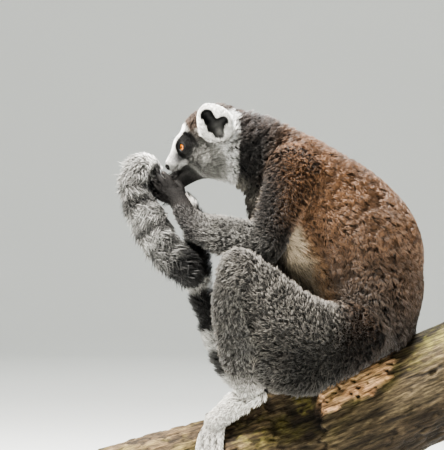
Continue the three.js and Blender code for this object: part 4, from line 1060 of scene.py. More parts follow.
# faces point out
_n = len(_me.polygons)
_cen = np.empty(_n * 3, np.float32)
_nor = np.empty(_n * 3, np.float32)
_me.polygons.foreach_get("center", _cen)
_me.polygons.foreach_get("normal", _nor)
_cen, _nor = _cen.reshape(-1, 3).astype(float) / MM, _nor.reshape(-1, 3).astype(float)
if (GS.normal(_cen) * _nor).sum() < 0:
    _me.flip_normals()
    _nor = -_nor
_area = np.empty(_n, np.float32)
_me.polygons.foreach_get("area", _area)
_area = _area.astype(float) / MM**2
stamp("skin mesh")
print("skin", len(_me.vertices), "verts", _n, "faces", round(_area.sum()), "mm2")

FACE_LAB, FACE_D = labels_of(_cen)
_vl, _vd = labels_of(_X)
_, _vst, _, _ = SKIN.tail_c.near(_X)
_vn = GS.normal(_X)
_tip, _bare = paint(_X, _vn, _vl, _vd, _vst)
# the skin under the fur takes the tips' colour darkened: dark underfur, with painted shade between the tufts
_under = np.array([0.3, 0.3, 0.6, 0.34, 0.3, 0.6, 0.5, 0.8, 0.3])[_vl]
set_tone(_me, _tip * np.where(_bare > 0.5, 1.0, _under)[:, None])
_me.materials.append(skin_material("skin_under_fur", False))
_me.materials.append(skin_material("skin_leather", True))
_fl = np.empty(len(_me.loops), np.int32)
_me.loops.foreach_get("vertex_index", _fl)
_ls = np.empty(_n, np.int32)
_me.polygons.foreach_get("loop_start", _ls)
_mi = (_bare[_fl[_ls]] > 0.5).astype(np.int32)
_me.polygons.foreach_set("material_index", _mi)
_me.polygons.foreach_set("use_smooth", np.ones(_n, bool))
_me.update()
FLESH = [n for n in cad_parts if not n.startswith("stand_") and n != "perch_branch" and not n.startswith("eye_")]
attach(skin, "root")
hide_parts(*FLESH)


# =====================================================================================
# The coat: tapered tufts rooted on the skin, lying along it, whose tips reach the coat's outside
# =====================================================================================
def lie(X, N, lab):
    """The direction the coat lies in, the station along the part and the angle round it, for the unwrap."""
    F = np.zeros_like(X)
    st = np.zeros(len(X))
    ang = np.zeros(len(X))
    run = np.zeros(len(X))

    def fill(m, chain, base=0.0):
        if not m.any():
            return
        _, s, tan, off = chain.near(X[m])
        F[m] = tan
        st[m] = s + base
        upv = np.cross(tan, AX_Y)
        a = np.arctan2((off * AX_Y).sum(1), (off * upv).sum(1))
        ang[m] = a
        seg = np.concatenate([[0], np.cumsum(np.linalg.norm(np.diff(chain.P, axis=0), axis=1))])
        run[m] = np.interp(s * chain.steps, np.arange(len(seg)), seg)

    left = X[:, 1] < 0
    m = lab == 0
    if m.any():
        fill(m, SKIN.trunk_c)
    m = lab == 1
    if m.any():
        d1 = SKIN.neck_c.near(X[m])[0]
        d2 = SKIN.throat_c.near(X[m])[0]
        w = np.flatnonzero(m)
        a = np.zeros(len(X), bool)
        b = np.zeros(len(X), bool)
        a[w[d1 <= d2]] = True
        b[w[d1 > d2]] = True
        fill(a, SKIN.neck_c)
        fill(b, SKIN.throat_c, 0.0)
    m = lab == 2
    if m.any():
        q = X[m] - head_at(4, -2)
        f = q / np.linalg.norm(q, axis=1)[:, None]
        f = f * 0.75 - AX_F * 0.5
        F[m] = f
        s, t = head_st(X[m])
        st[m] = -s / 20.0
        ang[m] = np.arctan2(X[m][:, 1], (t + 3) * UNIT)
        run[m] = -s * UNIT
    for lb, table in ((3, "arms"), (4, "legs")):
        for side in (-1, 1):
            m = (lab == lb) & (left == (side < 0))
            if not m.any():
                continue
            cs = getattr(SKIN, table)[side]
            ds = np.stack([c.near(X[m])[0] for c in cs], 1)
            pick = ds.argmin(1)
            # the coat's direction turns smoothly from one length of the limb to the next
            w = np.exp(-(ds - ds.min(1)[:, None]) / 5.0)
            w /= w.sum(1)[:, None]
            tan = 0
            for k, c in enumerate(cs):
                tan = tan + w[:, k:k + 1] * c.near(X[m])[2]
            idx = np.flatnonzero(m)
            for k, c in enumerate(cs):
                mm = np.zeros(len(X), bool)
                mm[idx[pick == k]] = True
                fill(mm, c, k * 5.0)
            F[m] = tan
    for lb, table in ((5, "hands"), (6, "feet")):
        for side in (-1, 1):
            m = (lab == lb) & (left == (side < 0))
            if not m.any():
                continue
            cs = getattr(SKIN, table)[side]
            ds = np.stack([c.near(X[m])[0] for c in cs], 1)
            pick = ds.argmin(1)
            idx = np.flatnonzero(m)
            for k, c in enumerate(cs):
                mm = np.zeros(len(X), bool)
                mm[idx[pick == k]] = True
                fill(mm, c, k * 5.0)
    for side in (-1, 1):
        m = (lab == 7) & (left == (side < 0))
        if m.any():
            a, t, o, c = ear_axes(side)
            x1, y1, z1 = ear_local(X[m], side)
            F[m] = t * 0.8 + a * 0.45 + np.outer(x1 / 20, a)
            st[m] = y1 / 20 + 1.5
            ang[m] = np.arctan2(x1, z1 + 3)
            run[m] = y1
    m = lab == 8
    if m.any():
        fill(m, SKIN.tail_c)
    # onto the surface
    F -= N * (F * N).sum(1)[:, None]
    F /= np.linalg.norm(F, axis=1)[:, None] + 1e-9
    return F, st, ang, run


def push_off_branch(P, gap=0.6):
    d = branch_field(P)
    bad = d < gap
    if bad.any():
        _, _, _, off = BRANCH_C.near(P[bad])
        off /= np.linalg.norm(off, axis=1)[:, None] + 1e-9
        P[bad] += off * (gap - d[bad])[:, None]
    return P


def grow(name, faces, count, spec_of, material, rings=1, seed=1):
    rng = np.random.default_rng(seed)
    w = _area[faces] * spec_of["density"](_cen[faces], FACE_LAB[faces])
    cum = np.cumsum(w)
    r = (np.arange(count) + rng.random(count)) / count * cum[-1]
    pick = faces[np.minimum(np.searchsorted(cum, r), len(faces) - 1)]
    ls = _ls[pick]
    a, b, c = (_X[_fl[ls + k]] for k in range(3))
    four = _size[pick] == 4
    d4 = _X[_fl[ls + np.where(four, 3, 2)]]
    half = (rng.random(count) < 0.5) & four
    b = np.where(half[:, None], c, b)
    c = np.where(half[:, None], d4, c)
    q = rng.random((count, 2))
    flip = q.sum(1) > 1
    q[flip] = 1 - q[flip]
    X = a + (b - a) * q[:, :1] + (c - a) * q[:, 1:]
    N = GS.normal(X)
    lab, D = labels_of(X)
    F, st, ang, run = lie(X, N, lab)
    _, tst, _, _ = SKIN.tail_c.near(X) if (lab == 8).any() else (None, np.zeros(count), None, None)
    tip_c, bare = paint(X, N, lab, D, tst)
    keep = bare < spec_of.get("bare", 0.5)
    X, N, lab, D, F, st, ang, run, tip_c, bare, tst = (z[keep] for z in (X, N, lab, D, F, st, ang, run, tip_c, bare, tst))
    n = len(X)
    L, W, top, rise, clump, lock, stray, wave, wave_len, dark, curl, fall = spec_of["spec"](X, N, lab, st, tst)
    one = np.ones(n)
    L, W, top, rise, clump, lock, stray, wave, wave_len, dark, curl, fall = (np.asarray(z, float) * one for z in (L, W, top, rise, clump, lock, stray, wave, wave_len, dark, curl, fall))
    # gravity and stray
    F = F + fall[:, None] * np.array([0, 0, -1.0])
    side = np.cross(N, F)
    side /= np.linalg.norm(side, axis=1)[:, None] + 1e-9
    centre, crnd = clump_centres(X, float(np.median(lock)), seed * 7 + 11)
    turn = stray * (rng.normal(size=n) * 0.6 + (crnd - 0.5) * 2.4) + 0.35 * stray * fbm(X, 30, seed + 3) * 3
    F = F + side * turn[:, None]
    F -= N * (F * N).sum(1)[:, None]
    F /= np.linalg.norm(F, axis=1)[:, None] + 1e-9
    side = np.cross(N, F)
    L = L * (0.78 + 0.44 * rng.random(n))
    phase = 2 * np.pi * (run / wave_len + 0.9 * fbm(X, 24, 31) + 0.35 * crnd)
    swell = 1 + wave * np.sin(phase)
    top = top * swell * (0.74 + 0.34 * rng.random(n)) * (1 + 0.3 * (crnd - 0.5))
    to_c = centre - X
    to_c -= N * (to_c * N).sum(1)[:, None]
    S = [0.0, 0.4, 1.0] if rings == 1 else [0.0, 0.3, 0.66, 1.0]
    pts = []
    cw = rng.random(n) * 0.5 + 0.75
    for s in S:
        lam = top * s**rise
        bend = curl * np.sin(3.2 * np.pi * s * cw + crnd * 6.28) * s
        P = X + F * (L * s)[:, None] + to_c * (clump * s**1.2)[:, None] + side * (bend * L)[:, None]
        if s == 0:
            P = P - N * np.minimum(0.9, 0.25 * L)[:, None]
        else:
            for _ in range(2):
                fs, fo = GS.sample(P), GC.sample(P)
                depth = np.clip(fs - fo, 0.4, 30)
                err = fs - lam * depth
                err = np.clip(err, -6, 6)
                g = GS.normal(P)
                P = P - g * (err * 0.9)[:, None]
            P = push_off_branch(P)
        pts.append(P)
    # a tuft whose tip has been pushed right off its line is left out
    reach = np.linalg.norm(pts[-1] - pts[0], axis=1)
    ok = (reach > 0.35 * L) & (reach < 1.9 * L + 6)
    if spec_of.get("cull") is not None:
        ok &= spec_of["cull"](X, pts[-1], lab)
    pts = [P[ok] for P in pts]
    X, N, F, side, L, W, tip_c, dark, st, ang, crnd, swell, lab, tst = (z[ok] for z in (X, N, F, side, L, W, tip_c, dark, st, ang, crnd, swell, lab, tst))
    n = len(X)
    W = W * (0.75 + 0.5 * rng.random(n))
    vco, tone, uv = [], [], []
    salt = spec_of.get("salt", 0.2)
    lum = 1 + salt * (rng.random(n) - 0.5) * 2 + 0.16 * (crnd - 0.5)
    # painted light and shade: tufts on the crests of the coat's wavelets lighter towards their tips, tufts in the
    # troughs darker
    high = np.clip(1 + 1.5 * (swell - 1), 0.5, 1.35)
    root_c = tip_c * (1 - dark)[:, None]
    uvc = spec_of["uv"](st, ang, lab, X)
    span = 0.003
    grow_to = spec_of.get("ramp", 1.0)
    for k, s in enumerate(S):
        P = pts[k]
        mixv = s**grow_to
        shade = (root_c * (1 - mixv) + tip_c * mixv) * (lum * (1 + (high - 1) * s))[:, None]
        if 0 < k < len(S) - 1:
            t = pts[k + 1] - pts[k - 1]
            t /= np.linalg.norm(t, axis=1)[:, None] + 1e-9
            sd = np.cross(t, N)
            sd /= np.linalg.norm(sd, axis=1)[:, None] + 1e-9
            up = np.cross(sd, t)
            wk = W * (1.0 if k == 1 else 0.72)
            for cx, cz in ((-1, -0.2), (1, -0.2), (0, 0.5)):
                vco.append(P + sd * (cx * 0.5 * wk)[:, None] + up * (cz * wk)[:, None])
                tone.append(shade)
                uv.append(uvc + np.array([cx * span / 2, (s - 0.5) * span])[None, :])
        else:
            vco.append(P)
            tone.append(shade)
            uv.append(uvc + np.array([0, (s - 0.5) * span])[None, :])
    m = len(vco)
    co = np.stack(vco, 1).reshape(-1, 3)
    tone = np.stack(tone, 1).reshape(-1, 3)
    uv = np.stack(uv, 1).reshape(-1, 2)
    quads, tris = [], []
    for i, j in ((0, 1), (1, 2), (2, 0)):
        tris.append([0, 1 + j, 1 + i])
        for k in range(rings - 1):
            a0, b0 = 1 + 3 * k, 4 + 3 * k
            quads.append([a0 + i, a0 + j, b0 + j, b0 + i])
        e0 = 1 + 3 * (rings - 1)
        tris.append([e0 + i, e0 + j, m - 1])
    base = (np.arange(n) * m)[:, None, None]
    Q = (np.array(quads)[None] + base).reshape(-1, 4) if quads else np.zeros((0, 4), int)
    T = (np.array(tris)[None] + base).reshape(-1, 3)
    ob = mesh_object(name, co, [Q, T] if len(Q) else [T])
    set_tone(ob.data, tone)
    set_uv(ob.data, np.clip(uv, 0.0005, 0.9995))
    ob.data.materials.append(material)
    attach(ob, "root")
    stamp(name)
    print(name, n, "tufts", len(Q) * 2 + len(T), "triangles")
    return ob


_size = np.empty(_n, np.int32)
_me.polygons.foreach_get("loop_total", _size)
ALLF = np.arange(_n)


def wrap_uv(parts):
    """Places each part of a piece on its own strip of the map: along the part one way, round it the other."""

    def f(st, ang, lab, X):
        u = np.zeros(len(st))
        v = np.zeros(len(st))
        for code, (x0, x1, s0, s1) in parts.items():
            m = lab == code
            a = (ang[m] / (2 * np.pi) + 0.5) % 1.0
            u[m] = x0 + (x1 - x0) * (0.01 + 0.98 * a)
            v[m] = 0.01 + 0.98 * np.clip((st[m] - s0) / (s1 - s0), 0, 1)
        return np.stack([u, v], 1)

    return f


def sided(parts_left_right):
    def f(st, ang, lab, X):
        u = np.zeros(len(st))
        v = np.zeros(len(st))
        for (code, side), (x0, x1, s0, s1) in parts_left_right.items():
            m = (lab == code) & ((X[:, 1] < 0) == (side < 0))
            a = (ang[m] / (2 * np.pi) + 0.5) % 1.0
            u[m] = x0 + (x1 - x0) * (0.01 + 0.98 * a)
            v[m] = 0.01 + 0.98 * np.clip((st[m] - s0) / (s1 - s0), 0, 1)
        return np.stack([u, v], 1)

    return f


fur_back = fur_material("fur_back", 0.62, 0.16, 0.26, 900.0, 0.3)
fur_limb = fur_material("fur_limb", 0.62, 0.16, 0.28, 900.0, 0.3)
fur_face = fur_material("fur_face", 0.75, 0.04, 0.2, 900.0, 0.15)
fur_tail = fur_material("fur_tail", 0.6, 0.12, 0.24, 900.0, 0.3)
fur_foot = fur_material("fur_foot", 0.75, 0.04, 0.18, 900.0, 0.15)


def flat(k):
    return lambda X, lab: np.full(len(X), float(k))


# Each returns, in mm where it is a size: length, width, height of the tips as a share of the coat's depth, how early
# the tuft rises, how far tufts gather into locks, the lock's size, how far they stray, the height and the length of
# the coat's wavelets, how dark the roots are, how much each tuft curls and how far it falls with gravity.
def spec_trunk(X, N, lab, st, tst):
    u, v = uv_of(X)
    belly = 1 - smooth(-6, 6, (u - 296) - (v - 230) * 0.43)
    belly *= smooth(205, 232, v)
    soft = 1 - belly
    return (8.5 + 6 * belly, 0.9 - 0.2 * belly, 0.98, 0.6, 0.45 - 0.2 * belly, 4.6, 0.5 - 0.3 * belly, 0.22 * soft, 7.0, 0.92 - 0.5 * belly, 0.14 * soft, 0.05)


def spec_neck(X, N, lab, st, tst):
    return (6.5, 0.9, 0.95, 0.62, 0.42, 4.8, 0.45, 0.3, 7.0, 0.85, 0.16, 0.03)


def spec_head(X, N, lab, st, tst):
    s, t = head_st(X)
    back = smooth(20, 58, -s)
    low = smooth(4, 16, -t) * smooth(28, 44, -s)
    return (2.3 + 3.2 * back + 3.5 * low, 0.5 + 0.25 * back, 0.9, 0.72, 0.25 * back, 3.6, 0.3, 0.2 * back, 5.0, 0.6 + 0.22 * back * (1 - smooth(222, 232, uv_of(X)[0])), 0.0, 0.04)


def spec_arm(X, N, lab, st, tst):
    u, v = uv_of(X)
    wrist = 1 - smooth(188, 222, u)
    return (5.2 - 2.2 * wrist, 0.85 - 0.3 * wrist, 0.95, 0.6, 0.45, 3.6, 0.5, 0.3, 4.6, 0.9 - 0.2 * wrist, 0.18, 0.02)


def spec_leg(X, N, lab, st, tst):
    u, v = uv_of(X)
    ankle = smooth(368, 398, v) * (1 - smooth(256, 275, u))
    return (5.6 + 1.0 * ankle, 0.9 - 0.25 * ankle, 0.95, 0.6, 0.45, 3.8, 0.52 - 0.2 * ankle, 0.3, 4.8, 0.9 - 0.35 * ankle, 0.18, 0.02)


def spec_tail(X, N, lab, st, tst):
    hang = smooth(22.2, 24.0, tst)
    tip = smooth(30.2, 32, tst)
    mid = smooth(9, 12, tst) * (1 - smooth(17.5, 19, tst))
    long_ = hang * (np.abs(np.sin(X[:, 0] * 12.9898 + X[:, 1] * 78.233 + X[:, 2] * 37.719) * 43758.5453) % 1.0 > 0.62)
    return (8 + 2 * mid + 7 * hang - 4 * tip + 3 * long_, 0.9 + 0.2 * hang, 1.06 + 0.06 * hang + 0.75 * long_, 0.85 + 0.1 * hang, 0.3 + 0.4 * hang, 4.6, 0.3 + 0.25 * hang, 0.12, 11.0, 0.6 + 0.37 * hang, 0.03, 0.02)


def spec_fine(X, N, lab, st, tst):
    ear, foot = lab == 7, lab == 6
    u, v = uv_of(X)
    heel = smooth(218, 238, u) * (1 - smooth(404, 420, v))
    L = np.where(ear, 4.4, np.where(foot, 5.2 + 3.2 * heel, 2.8))
    W = np.where(ear, 0.55, np.where(foot, 0.72 + 0.2 * heel, 0.42))
    return (L, W, np.where(ear, 1.2, np.where(foot, 1.5 + 0.7 * heel, 1.1)), 0.7, np.where(foot, 0.42, 0.15), 3.4, np.where(foot, 0.45, 0.25), np.where(foot, 0.22, 0.1), 5.0, np.where(foot, 0.72, 0.35), np.where(foot, 0.08, 0.0), 0.0)


Q_ = 1.0
K = lambda c: int(c * Q_)
u_f, v_f = uv_of(_cen)
trunk_f = ALLF[FACE_LAB == 0]
tv = v_f[trunk_f]
split1, split2 = 212, 268
COAT_OBJS = []
tr_uv = wrap_uv({0: (0.0, 1.0, 0.0, 7.0)})
for nm, sel, cnt, sd in (
    ("coat_back_upper", trunk_f[tv < split1], 27000, 11),
    ("coat_back_middle", trunk_f[(tv >= split1) & (tv < split2)], 27500, 12),
    ("coat_back_lower", trunk_f[tv >= split2], 26500, 13),
):
    COAT_OBJS.append(grow(nm, sel, K(cnt), dict(spec=spec_trunk, density=flat(1), uv=tr_uv, salt=0.4, ramp=1.9), fur_back, 1, sd))
COAT_OBJS.append(grow("coat_neck", ALLF[FACE_LAB == 1], K(16000), dict(spec=spec_neck, density=flat(1), salt=0.4, ramp=1.8, uv=wrap_uv({1: (0, 1, 0, 3.0)})), fur_back, 1, 21))
COAT_OBJS.append(
    grow("coat_head", ALLF[FACE_LAB == 2], K(30000), dict(spec=spec_head, density=lambda X, lab: 1 + 0.9 * smooth(-45, -20, head_st(X)[0]), uv=wrap_uv({2: (0, 1, -0.5, 5.2)}), bare=0.4, salt=0.42, ramp=1.8), fur_face, 1, 22)
)
limb = dict(density=flat(1), salt=0.5, ramp=2.0)
COAT_OBJS.append(grow("coat_arms", ALLF[FACE_LAB == 3], K(22000), dict(limb, spec=spec_arm, uv=sided({(3, -1): (0, 0.5, 0, 10.0), (3, 1): (0.5, 1, 0, 10.0)})), fur_limb, 1, 23))
leg_uv = wrap_uv({4: (0, 1, 0, 15.0)})
COAT_OBJS.append(grow("coat_leg_left", ALLF[(FACE_LAB == 4) & (_cen[:, 1] < 0)], K(25000), dict(limb, spec=spec_leg, uv=leg_uv), fur_limb, 1, 24))
COAT_OBJS.append(grow("coat_leg_right", ALLF[(FACE_LAB == 4) & (_cen[:, 1] >= 0)], K(18000), dict(limb, spec=spec_leg, uv=leg_uv), fur_limb, 1, 25))
tail_f = ALLF[FACE_LAB == 8]
_, tail_st, _, _ = SKIN.tail_c.near(_cen[tail_f])
COAT_OBJS.append(grow("coat_tail_root", tail_f[tail_st < 20.5], K(16000), dict(spec=spec_tail, density=flat(1), uv=wrap_uv({8: (0, 1, 0, 21.0)})), fur_tail, 1, 26))
COAT_OBJS.append(grow("coat_tail_end", tail_f[tail_st >= 20.5], K(12500), dict(spec=spec_tail, density=flat(1), salt=0.7, ramp=2.6, uv=wrap_uv({8: (0, 1, 20.0, 32.5)})), fur_tail, 2, 27))
fine_f = ALLF[(FACE_LAB >= 5) & (FACE_LAB <= 7)]
COAT_OBJS.append(
    grow(
        "coat_fine", fine_f, K(22000),
        dict(spec=spec_fine, density=lambda X, lab: np.where(lab == 7, 1.5, 1.0), bare=0.45, salt=0.12,
             uv=sided({(5, -1): (0, 0.16, 0, 30), (5, 1): (0.16, 0.32, 0, 30), (6, -1): (0.32, 0.5, 0, 30), (6, 1): (0.5, 0.66, 0, 30), (7, -1): (0.66, 0.83, 0, 3), (7, 1): (0.83, 1, 0, 3)})),
        fur_foot, 1, 28,
    )
)


# =====================================================================================
# Eyes: a dark ball whose domed front carries the amber iris with its fibres and a pupil, under a clear coat
# =====================================================================================
def revolve(name, profile, centre, f, u, r, seg=40, closed_top=True):
    """profile is a list of (distance along the axis, radius), in mm."""
    co, quads, tris = [], [], []
    for z, rad in profile:
        for k in range(seg):
            a = 2 * math.pi * k / seg
            co.append(centre + f * z + (u * math.cos(a) + r * math.sin(a)) * rad)
    for i in range(len(profile) - 1):
        for k in range(seg):
            quads.append([i * seg + k, i * seg + (k + 1) % seg, (i + 1) * seg + (k + 1) % seg, (i + 1) * seg + k])
    first, last = len(co), len(co) + 1
    co.append(centre + f * profile[0][0])
    co.append(centre + f * profile[-1][0])
    for k in range(seg):
        tris.append([first, (k + 1) % seg, k])
        e = (len(profile) - 1) * seg
        tris.append([last, e + k, e + (k + 1) % seg])
    ob = mesh_object(name, np.array(co), [np.array(quads), np.array(tris)])
    bm = bmesh.new()
    bm.from_mesh(ob.data)
    bmesh.ops.recalc_face_normals(bm, faces=bm.faces)
    bm.to_mesh(ob.data)
    bm.free()
    return ob


def eye_material():
    m, nt, bsdf = new_material("eye_ball")
    tone = nt.nodes.new("ShaderNodeAttribute")
    tone.attribute_name = "tone"
    tc = nt.nodes.new("ShaderNodeTexCoord")
    n = nt.nodes.new("ShaderNodeTexNoise")
    n.inputs["Scale"].default_value = 1500.0
    n.inputs["Detail"].default_value = 3.0
    nt.links.new(tc.outputs["Object"], n.inputs["Vector"])
    r = nt.nodes.new("ShaderNodeMapRange")
    r.inputs["From Min"].default_value, r.inputs["From Max"].default_value = 0.35, 0.65
    r.inputs["To Min"].default_value, r.inputs["To Max"].default_value = 0.86, 1.14
    nt.links.new(n.outputs["Fac"], r.inputs["Value"])
    mix = nt.nodes.new("ShaderNodeVectorMath")
    mix.operation = "SCALE"
    nt.links.new(tone.outputs["Color"], mix.inputs[0])
    nt.links.new(r.outputs["Result"], mix.inputs["Scale"])
    nt.links.new(mix.outputs["Vector"], bsdf.inputs["Base Color"])
    bsdf.inputs["Roughness"].default_value = 0.12
    bsdf.inputs["Coat Weight"].default_value = 1.0
    bsdf.inputs["Coat Roughness"].default_value = 0.03
    return m


eye_mat = eye_material()
for _side, _name in ((-1, "left"), (1, "right")):
    e = EYES[_side]
    R, ir, pr = EYE_R, 5.35, 1.55
    prof = []
    for k in range(1, 15):  # back and sides of the ball up to the rim of the iris
        th = math.pi - k * (math.pi - math.asin(ir / R)) / 14
        prof.append((R * math.cos(th), R * math.sin(th)))
    z0 = prof[-1][0]
    # the cornea's dome, with the iris painted on it
    for k in range(1, 13):
        q = 1 - k / 12.6
        prof.append((z0 + 1.05 * math.sqrt(max(0.0, 1 - q * q)) * 1.0, ir * q))
    ob = revolve("eye_%s_ball" % _name, prof, e["c"], e["f"], e["u"], e["r"], 56)
    co = np.empty(len(ob.data.vertices) * 3, np.float32)
    ob.data.vertices.foreach_get("co", co)
    P = co.reshape(-1, 3) / MM - e["c"]
    rad = np.sqrt((P @ e["u"]) ** 2 + (P @ e["r"]) ** 2)
    front = (P @ e["f"]) > 0
    ang = np.arctan2(P @ e["u"], P @ e["r"])
    fib = 0.5 + 0.5 * np.sin(ang * 23 + 2.5 * np.sin(ang * 5))
    amber = lerp(np.tile(lin(236, 124, 16), (len(P), 1)), lin(250, 168, 46), fib * 0.7)
    amber = lerp(amber, lin(150, 62, 8), smooth(4.1, 5.2, rad) * 0.85)
    amber = lerp(amber, lin(190, 84, 10), (1 - smooth(1.6, 2.3, rad)) * 0.6)
    col = lerp(amber, lin(8, 6, 5), 1 - smooth(pr - 0.1, pr + 0.15, rad))
    col = lerp(col, lin(24, 15, 11), smooth(5.0, 5.5, rad))
    col[~front] = lin(24, 15, 11)
    set_tone(ob.data, col)
    ob.data.materials.append(eye_mat)
    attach(ob, "root")
    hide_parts("eye_" + _name)


# =====================================================================================
# Whiskers, brow bristles and nails
# =====================================================================================
def rods(name, starts, dirs, bends, lengths, widths, tone, mat):
    n = len(starts)
    S = [0, 0.35, 0.7, 1.0]
    vco = []
    for k, s in enumerate(S):
        P = starts + dirs * (lengths * s)[:, None] + bends * (lengths * s * s)[:, None]
        if k < 3:
            T = dirs + bends * 2 * s
            T /= np.linalg.norm(T, axis=1)[:, None]
            a = np.cross(T, np.array([0.31, 0.55, 0.77]))
            a /= np.linalg.norm(a, axis=1)[:, None]
            b = np.cross(T, a)
            for q in range(3):
                th = 2 * math.pi * q / 3
                vco.append(P + (a * math.cos(th) + b * math.sin(th)) * (widths * (1 - s * 0.75) / 2)[:, None])
        else:
            vco.append(P)
    m = len(vco)
    co = np.stack(vco, 1).reshape(-1, 3)
    quads = [[3 * k + i, 3 * k + j, 3 * k + 3 + j, 3 * k + 3 + i] for k in range(2) for i, j in ((0, 1), (1, 2), (2, 0))]
    tris = [[0, 2, 1]] + [[6 + i, 6 + j, 9] for i, j in ((0, 1), (1, 2), (2, 0))]
    base = (np.arange(n) * m)[:, None, None]
    ob = mesh_object(name, co, [(np.array(quads)[None] + base).reshape(-1, 4), (np.array(tris)[None] + base).reshape(-1, 3)])
    set_tone(ob.data, np.tile(tone, (len(co), 1)))
    ob.data.materials.append(mat)
    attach(ob, "root")
    return ob


_r = np.random.default_rng(77)
_st, _dr, _bd, _ln, _wd = [], [], [], [], []
for _side in (-1, 1):
    for k in range(16):  # moustachial
        s, t = -7 - 7 * _r.random(), -3.5 - 5 * _r.random()
        P = project(np.array([head_at(s, t, _side * 9)]), 6, 2.5)[0]
        d = AX_F * (0.35 + 0.3 * _r.random()) + np.array([0, _side, 0]) * (0.8 + 0.3 * _r.random()) - AX_T * (0.15 + 0.3 * _r.random())
        _st.append(P), _dr.append(d / np.linalg.norm(d)), _bd.append(-AX_T * 0.18 - AX_F * 0.15), _ln.append(15 + 13 * _r.random()), _wd.append(0.3)
    for k in range(8):  # over the eye
        s, t = -24 - 6 * _r.random(), 14 + 2 * _r.random()
        P = project(np.array([head_at(s, t, _side * (9 + 4 * _r.random()))]), 6, 2.5)[0]
        d = AX_F * (0.8 + 0.3 * _r.random()) + np.array([0, _side, 0]) * (0.3 + 0.3 * _r.random()) + AX_T * (0.5 + 0.4 * _r.random())
        _st.append(P), _dr.append(d / np.linalg.norm(d)), _bd.append(AX_T * 0.05 - AX_F * 0.12), _ln.append(11 + 9 * _r.random()), _wd.append(0.26)
rods("whiskers", np.array(_st), np.array(_dr), np.array(_bd), np.array(_ln), np.array(_wd), lin(26, 24, 23), fur_material("whisker", 0.4, 0.0, 0.1))


# held tail hair between mouth and hand, coloured near-black as painted shade of the mouth and hand
_n = 260
_p = np.stack([163 + 13 * _r.random(_n), 176 + 14 * _r.random(_n)], 1)
_a = np.array([at(a_, b_, 16 * (_r.random() - 0.5)) for a_, b_ in _p])
_b = np.array([at(178 + 5 * _r.random(), 166 + 12 * _r.random(), 12 * (_r.random() - 0.5)) for _ in range(_n)])
_d = _b - _a
_m = np.linalg.norm(_d, axis=1)
_d /= _m[:, None]
_held = rods("held_tail_hairs", _a, _d, np.tile(np.array([0.0, 0, 0.12]), (_n, 1)), _m * (0.8 + 0.35 * _r.random(_n)), 0.7 + 0.5 * _r.random(_n), lin(22, 20, 19), fur_material("held_hair", 0.6, 0.1, 0.2))
_g = np.arange(_n)
_c = np.stack([(_g % 20 + 0.5) / 20, (_g // 20 + 0.5) / 20], 1)
_k = len(_held.data.vertices) // _n
_w = np.stack([np.cos(np.arange(_k) * 2.1), np.sin(np.arange(_k) * 2.1)], 1) * 0.0015
set_uv(_held.data, (_c[:, None, :] + _w[None]).reshape(-1, 2))


def nails():
    co, quads = [], []
    tone = []
    for side in (-1, 1):
        near = side < 0
        for table, shift, groups in ((FINGERS, ARM_SHIFT, "hand"), (TOES, LEG_SHIFT, "foot")):
            for k, rows in enumerate(table):
                rr = digit(rows, 0.7)
                if not near:
                    rr = mirrored(rr, shift)
                ch = Chain(rr, 3, True)
                tip, tan, rad = ch.P[-1], ch.T[-1], ch.r[-1]
                if groups == "foot":
                    _, _, _, off = BRANCH_C.near(tip[None])
                    upv = off[0] / np.linalg.norm(off[0])
                else:
                    upv = np.array([-0.35, side * 0.9, 0.25])
                upv = upv - tan * (upv @ tan)
                upv /= np.linalg.norm(upv)
                sd = np.cross(tan, upv)
                claw = groups == "foot" and k == 0
                ln, wd, hh = (6.2, 0.62, 1.5) if claw else (4.6, 0.82, 0.62)
                n0 = len(co)
                A, B = 7, 9
                for i in range(A):
                    q = i / (A - 1)
                    wid = rad * wd * (1 - (0.25 if not claw else 0.85) * q**2.2) * (0.9 if i else 0.75)
                    for j in range(B):
                        th = math.pi * (j / (B - 1)) - math.pi / 2
                        p = tip + tan * (-1.6 + ln * q * (1 - 0.08 * abs(th))) + sd * wid * math.sin(th) + upv * (rad * (0.50 + 0.52 * math.cos(th)) + (0.25 if i else -0.3) - hh * q * q)
                        co.append(p)
                    for j in range(B):
                        th = math.pi / 2 - math.pi * (j / (B - 1))
                        p = tip + tan * (-1.6 + ln * q * (1 - 0.08 * abs(th))) + sd * wid * 0.86 * math.sin(th) + upv * (rad * (0.36 + 0.46 * math.cos(th)) + (0.1 if i else -0.4) - hh * q * q)
                        co.append(p)
                M = 2 * B
                for i in range(A - 1):
                    for j in range(M):
                        quads.append([n0 + i * M + j, n0 + i * M + (j + 1) % M, n0 + (i + 1) * M + (j + 1) % M, n0 + (i + 1) * M + j])
                for i in (0, A - 1):
                    for j in range(B - 1):
                        quads.append([n0 + i * M + j, n0 + i * M + j + 1, n0 + i * M + M - 2 - j, n0 + i * M + M - 1 - j])
    ob = mesh_object("nails", np.array(co), [np.array(quads)])
    bm = bmesh.new()
    bm.from_mesh(ob.data)
    bmesh.ops.recalc_face_normals(bm, faces=bm.faces)
    bm.to_mesh(ob.data)
    bm.free()
    z = np.array(co)
    set_tone(ob.data, lerp(np.tile(lin(38, 33, 31), (len(z), 1)), lin(52, 46, 42), 0.5 + 0.5 * noise(z, 2.0, 5)))
    m = skin_material("nail_horn", True)
    m.node_tree.nodes["Principled BSDF"].inputs["Roughness"].default_value = 0.3
    ob.data.materials.append(m)
    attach(ob, "root")
    return ob


nails()


